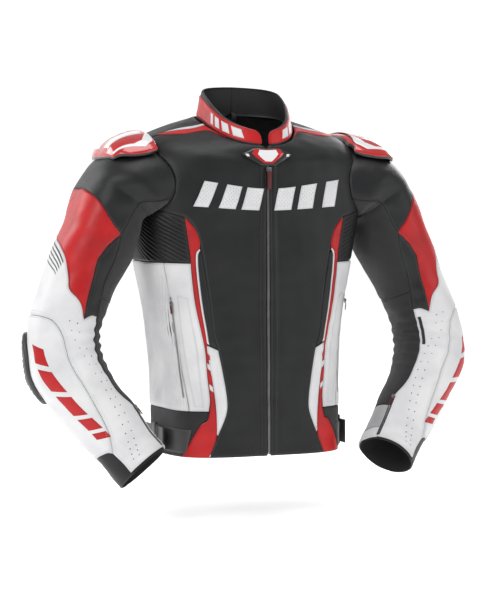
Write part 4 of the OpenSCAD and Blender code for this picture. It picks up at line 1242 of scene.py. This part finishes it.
cup_skin = dome_skin(4, 44, -0.21, 0.61, 5.0, 13.0)
CUP_RING = closed([(-20, -0.19), (4, -0.2)], [(26, -0.19), (39, -0.02), (44, 0.2), (41, 0.42)],
                  [(30, 0.6), (4, 0.62)], [(-22, 0.6), (-33, 0.42), (-36, 0.2), (-32, -0.02)])
CUP_INSET = [[(4 + (q - 4) * 0.985, 0.21 + (s - 0.21) * 0.985) for q, s in edge] for edge in CUP_RING]
FACETS = [("stripe", [(2, -0.09), (9, -0.1), (31, 0.04), (37, 0.17), (35, 0.27), (29, 0.57), (27, 0.56), (31, 0.28),
                      (28, 0.15)], white_gloss, 1.9)]
FACETS += [("slat_%d" % k, [(q, 0.06), (q + 9, 0.09), (q + 9, 0.53), (q, 0.53)], white_gloss, 1.9)
           for k, q in enumerate((-25, -9, 7))]
slider_skin = dome_skin(-32, 32, 4.06, 5.66, 4.7, 6.0)
slider_black = plastic("slider_composite", (0.030, 0.030, 0.032), (0.05, 0.05, 0.052), 0.3)
for side, tag in ((1, "L"), (-1, "R")):
    cup = cut("shoulder_cup_rim_" + tag, cup_skin, CUP_RING, side, 3.4, 3.0, 0, 0, 1.6, angle=60)
    lay(cup, black_gloss, "shoulder_cup_" + tag, "red_plastic", "shoulder_cup_" + tag)
    shell = cut("shoulder_cup_shell_" + tag, cup_skin, CUP_INSET, side, 3.0, 2.6, 1.0, 0, 0.8, angle=60)
    lay(shell, red_gloss, "shoulder_cup_" + tag, "red_plastic")
    for label, corners, made, lift in FACETS:
        plate("shoulder_cup_%s_%s" % (label, tag), cup_skin, corners, made, "red_plastic", lift, 0.9,
              "shoulder_cup_" + tag, side, 1.8, roll=0.4)
    guard = cut("elbow_slider_shell_" + tag, slider_skin,
                closed([(-54, 4.18), (-32, 4.1)], [(-11, 4.18), (-3, 4.55), (-2, 5.05)],
                       [(-10, 5.52), (-32, 5.62)], [(-54, 5.52), (-61, 5.1),
                           (-61, 4.6)]), side, 3.4, 3.0, 0, 0, 1.8, angle=60,
                relief=lambda x, y, d, q, s: -0.9 * (np.abs((s * 9) % 1 - 0.5) < 0.12) * (d > 6))
    lay(guard, slider_black, "forearm_" + tag, "dark_plastic", "elbow_slider_" + tag)
    for name, body, q0, q1, s0, s1, lift, cad in (("shoulder_pad_foam_", "upper_arm_", -38, 38, 1.1, 1.7, -7.2,
            "shoulder_pad_"),
                                                   ("elbow_pad_foam_", "forearm_", -45, 35, 5.05, 6.6, -4.4,
                                                       "elbow_pad_")):
        pad = cut(name + tag, sleeve_skin, closed([(q0, s0), (0, s0 - 0.03)], [(q1, s0)],
                                                  [(q1, s1), (0, s1 + 0.03)], [(q0, s1)]),
                   side, 3.4, 7.0, lift - 1.2, 0, 2.0, relief=cells)
        lay(pad, foam, body + tag, "pad_foam", cad + tag)

strip_label = cut("sleeve_label_strip", sleeve_skin, sides((120, 3.98), (123, 5.0), (128.5, 5.0), (125.5, 3.98)), 1,
    2.6, 0.7, 0.5, 0, 0.2)
lay(strip_label, black_leather, "elbow_L", "black_leather")

# Small sliders on the cuff and hand-pocket zips: a metal body with a rubber tag


def small_slider(name, at, out, way, body, nodes):
    """A slider on a zip: its body, a bridge and a ribbed tag that lies along the zip."""
    z = -way / np.linalg.norm(way)
    x = np.cross(z, out)
    x /= np.linalg.norm(x)
    turned = Matrix(np.stack([x, np.cross(z, x), z], 1).tolist()).to_4x4()
    turned.translation = Vector((at - HANG) * MM)
    for label, parts, made in (("body", [((0, -1.2, 0), (4.8, 2.0, 7.6)), ((0, -2.9, 0.6), (1.6, 1.6, 4.6))],
            metal),
                               ("tag", [((0, -2.9, -9.5), (3.4, 1.2, 13)), ((0, -3.7, -11.5), (2.6, 0.5, 0.9)),
                                   ((0, -3.7, -9), (2.6, 0.5, 0.9)),
                                        ((0, -3.7, -6.5), (2.6, 0.5, 0.9))], maroon)):
        piece = block(name + "_" + label, [(np.array(c) + HANG, size) for c, size in parts], 0.35, 2)
        piece.data.transform(turned)
        lay(piece, made, body, "zip_metal", *(nodes if label == "body" else []))


for side, tag in ((1, "L"), (-1, "R")):
    mirror = np.array([side, 1, 1])
    here, n = torso_skin(np.array([56.0]), np.array([252.0]), 2.7)
    low = torso_skin(np.array([54.0]), np.array([110.0]))[0] - torso_skin(np.array([56.0]), np.array([262.0]))[0]
    small_slider("pocket_slider_" + tag, here[0] * mirror, n[0] * mirror, low[0] * mirror, "pocket_slider_" + tag,
        ["pocket_slider_" + tag])
    hs = np.linspace(100, 262, 60)
    track = cut("pocket_zip_tape_" + tag, torso_skin, sides((53.6, 100), (55.6, 262), (57.6, 262), (55.6, 100)),
        side, 3, 0.7, 0.9, 0, 0.2)
    lay(track, white_leather, "jacket_body", "zip_tape")
    carry(teeth("pocket_zip_teeth_" + tag, [torso_skin(54.6 + 2 * (hs - 100) / 162 + dt, hs, 1.2)[0] * mirror
        for dt in (-0.25, 0.25)],
                metal, 1.6, 1.4, 1.0, 0.8), "jacket_body", "zip_metal")
    here, n = sleeve_skin(np.array([150.0]), np.array([7.0]), 1.2)
    low = sleeve_skin(np.array([150.0]), np.array([8.5]))[0] - sleeve_skin(np.array([150.0]), np.array([7.0]))[0]
    small_slider("cuff_slider_" + tag, here[0] * mirror, n[0] * mirror, low[0] * mirror, "cuff_slider_" + tag,
        ["cuff_slider_" + tag])

# ---------------------------------------------------------------- Sewing
# Waxed thread along every seam, one short capsule a stitch, and the air holes and eyelets
# punched through the leather. Each length of sewing rides with the leather it holds.
thread_row, given, out = tree_of("thread_row", ("Pitch", "Float", 0.0034), ("Length", "Float", 0.0025),
                                 ("Thick", "Float", 0.00042), ("Thread", "Material", None))
course = node(thread_row, "GeometryNodeMeshToCurve")
spaced = node(thread_row, "GeometryNodeResampleCurve")
spaced.mode = "LENGTH"
bead = node(thread_row, "GeometryNodeMeshIcoSphere")
bead.inputs["Radius"].default_value = 1.0
bead.inputs["Subdivisions"].default_value = 1
shape = node(thread_row, "ShaderNodeCombineXYZ")
half = node(thread_row, "ShaderNodeMath", operation="MULTIPLY", in_1=0.5)
aim = node(thread_row, "FunctionNodeAlignRotationToVector", axis="Z")
tangent = node(thread_row, "GeometryNodeInputTangent")
placed = node(thread_row, "GeometryNodeInstanceOnPoints")
wire(thread_row, (given["Path"], course.inputs["Mesh"]), (course.outputs["Curve"], spaced.inputs["Curve"]),
     (given["Pitch"], spaced.inputs["Length"]), (given["Thick"], shape.inputs[0]), (given["Thick"],
         shape.inputs[1]),
     (given["Length"], half.inputs[0]), (half.outputs[0], shape.inputs[2]), (spaced.outputs["Curve"],
         placed.inputs["Points"]),
     (bead.outputs["Mesh"], placed.inputs["Instance"]), (tangent.outputs[0], aim.inputs["Vector"]),
     (aim.outputs["Rotation"], placed.inputs["Rotation"]), (shape.outputs[0], placed.inputs["Scale"]))
finish_tree(thread_row, placed.outputs["Instances"], given["Thread"], out["Made"])

hole_set, given, out = tree_of("punched_holes", ("Radius", "Float", 0.0006), ("Depth", "Float", 0.0004),
                               ("Inside", "Material", None))
rim = node(hole_set, "GeometryNodeMeshCone")
rim.inputs["Vertices"].default_value = 7
rim.inputs["Radius Top"].default_value = 0.0
pit = node(hole_set, "GeometryNodeTransform")
pit.inputs["Rotation"].default_value = (np.pi, 0, 0)
way = node(hole_set, "GeometryNodeInputNamedAttribute", data_type="FLOAT_VECTOR")
way.inputs["Name"].default_value = "facing"
aim = node(hole_set, "FunctionNodeAlignRotationToVector", axis="Z")
placed = node(hole_set, "GeometryNodeInstanceOnPoints")
wire(hole_set, (given["Radius"], rim.inputs["Radius Bottom"]), (given["Depth"], rim.inputs["Depth"]),
     (rim.outputs["Mesh"], pit.inputs["Geometry"]), (given["Path"], placed.inputs["Points"]),
     (pit.outputs["Geometry"], placed.inputs["Instance"]), (way.outputs["Attribute"], aim.inputs["Vector"]),
     (aim.outputs["Rotation"], placed.inputs["Rotation"]))
finish_tree(hole_set, placed.outputs["Instances"], given["Inside"], out["Made"])


def thread(name, colour, deep):
    made, tree, shader = material(name, roughness=0.6)
    spot = node(tree, "ShaderNodeTexCoord")
    twist = node(tree, "ShaderNodeTexWave", in_1=900.0, in_2=2.0)
    tint = node(tree, "ShaderNodeMix", data_type="RGBA")
    tint.inputs["A"].default_value, tint.inputs["B"].default_value = (*deep, 1), (*colour, 1)
    wire(tree, (spot.outputs["Object"], twist.inputs["Vector"]), (twist.outputs["Fac"], tint.inputs["Factor"]),
         (tint.outputs["Result"], shader.inputs["Base Color"]))
    return made


THREADS = {"dark_thread": thread("dark_thread", (0.06, 0.06, 0.065), (0.03, 0.03, 0.032)),
           "pale_thread": thread("pale_thread", (0.62, 0.62, 0.63), (0.45, 0.45, 0.46)),
           "red_thread": thread("red_thread", (0.30, 0.008, 0.010), (0.18, 0.004, 0.006))}
SLOT_OF = {"dark_thread": "black_leather", "pale_thread": "white_leather", "red_thread": "red_leather"}
for (place, kind), runs in SEWING.items():
    points = np.vstack(runs)
    edges, n = [], 0
    for run in runs:
        edges += [(n + i, n + i + 1) for i in range(len(run) - 1)]
        n += len(run)
    sewn = grow("sewing_%s_%s" % (kind, place), thread_row, points, edges, Thread=THREADS[kind])
    carry(sewn, place, SLOT_OF[kind])
hole_dark = thread("hole_shadow", (0.012, 0.012, 0.012), (0.006, 0.006, 0.006))
for (place, kind), sets in HOLES.items():
    points, ways = np.vstack([p for p, n in sets]), np.vstack([n for p, n in sets])
    big = kind == "eyelet"
    holes = grow("holes_%s_%s" % (kind, place), hole_set, points, (), ways, Radius=(1.15 if big else 0.55) * MM,
        Inside=hole_dark)
    carry(holes, place, "black_leather")
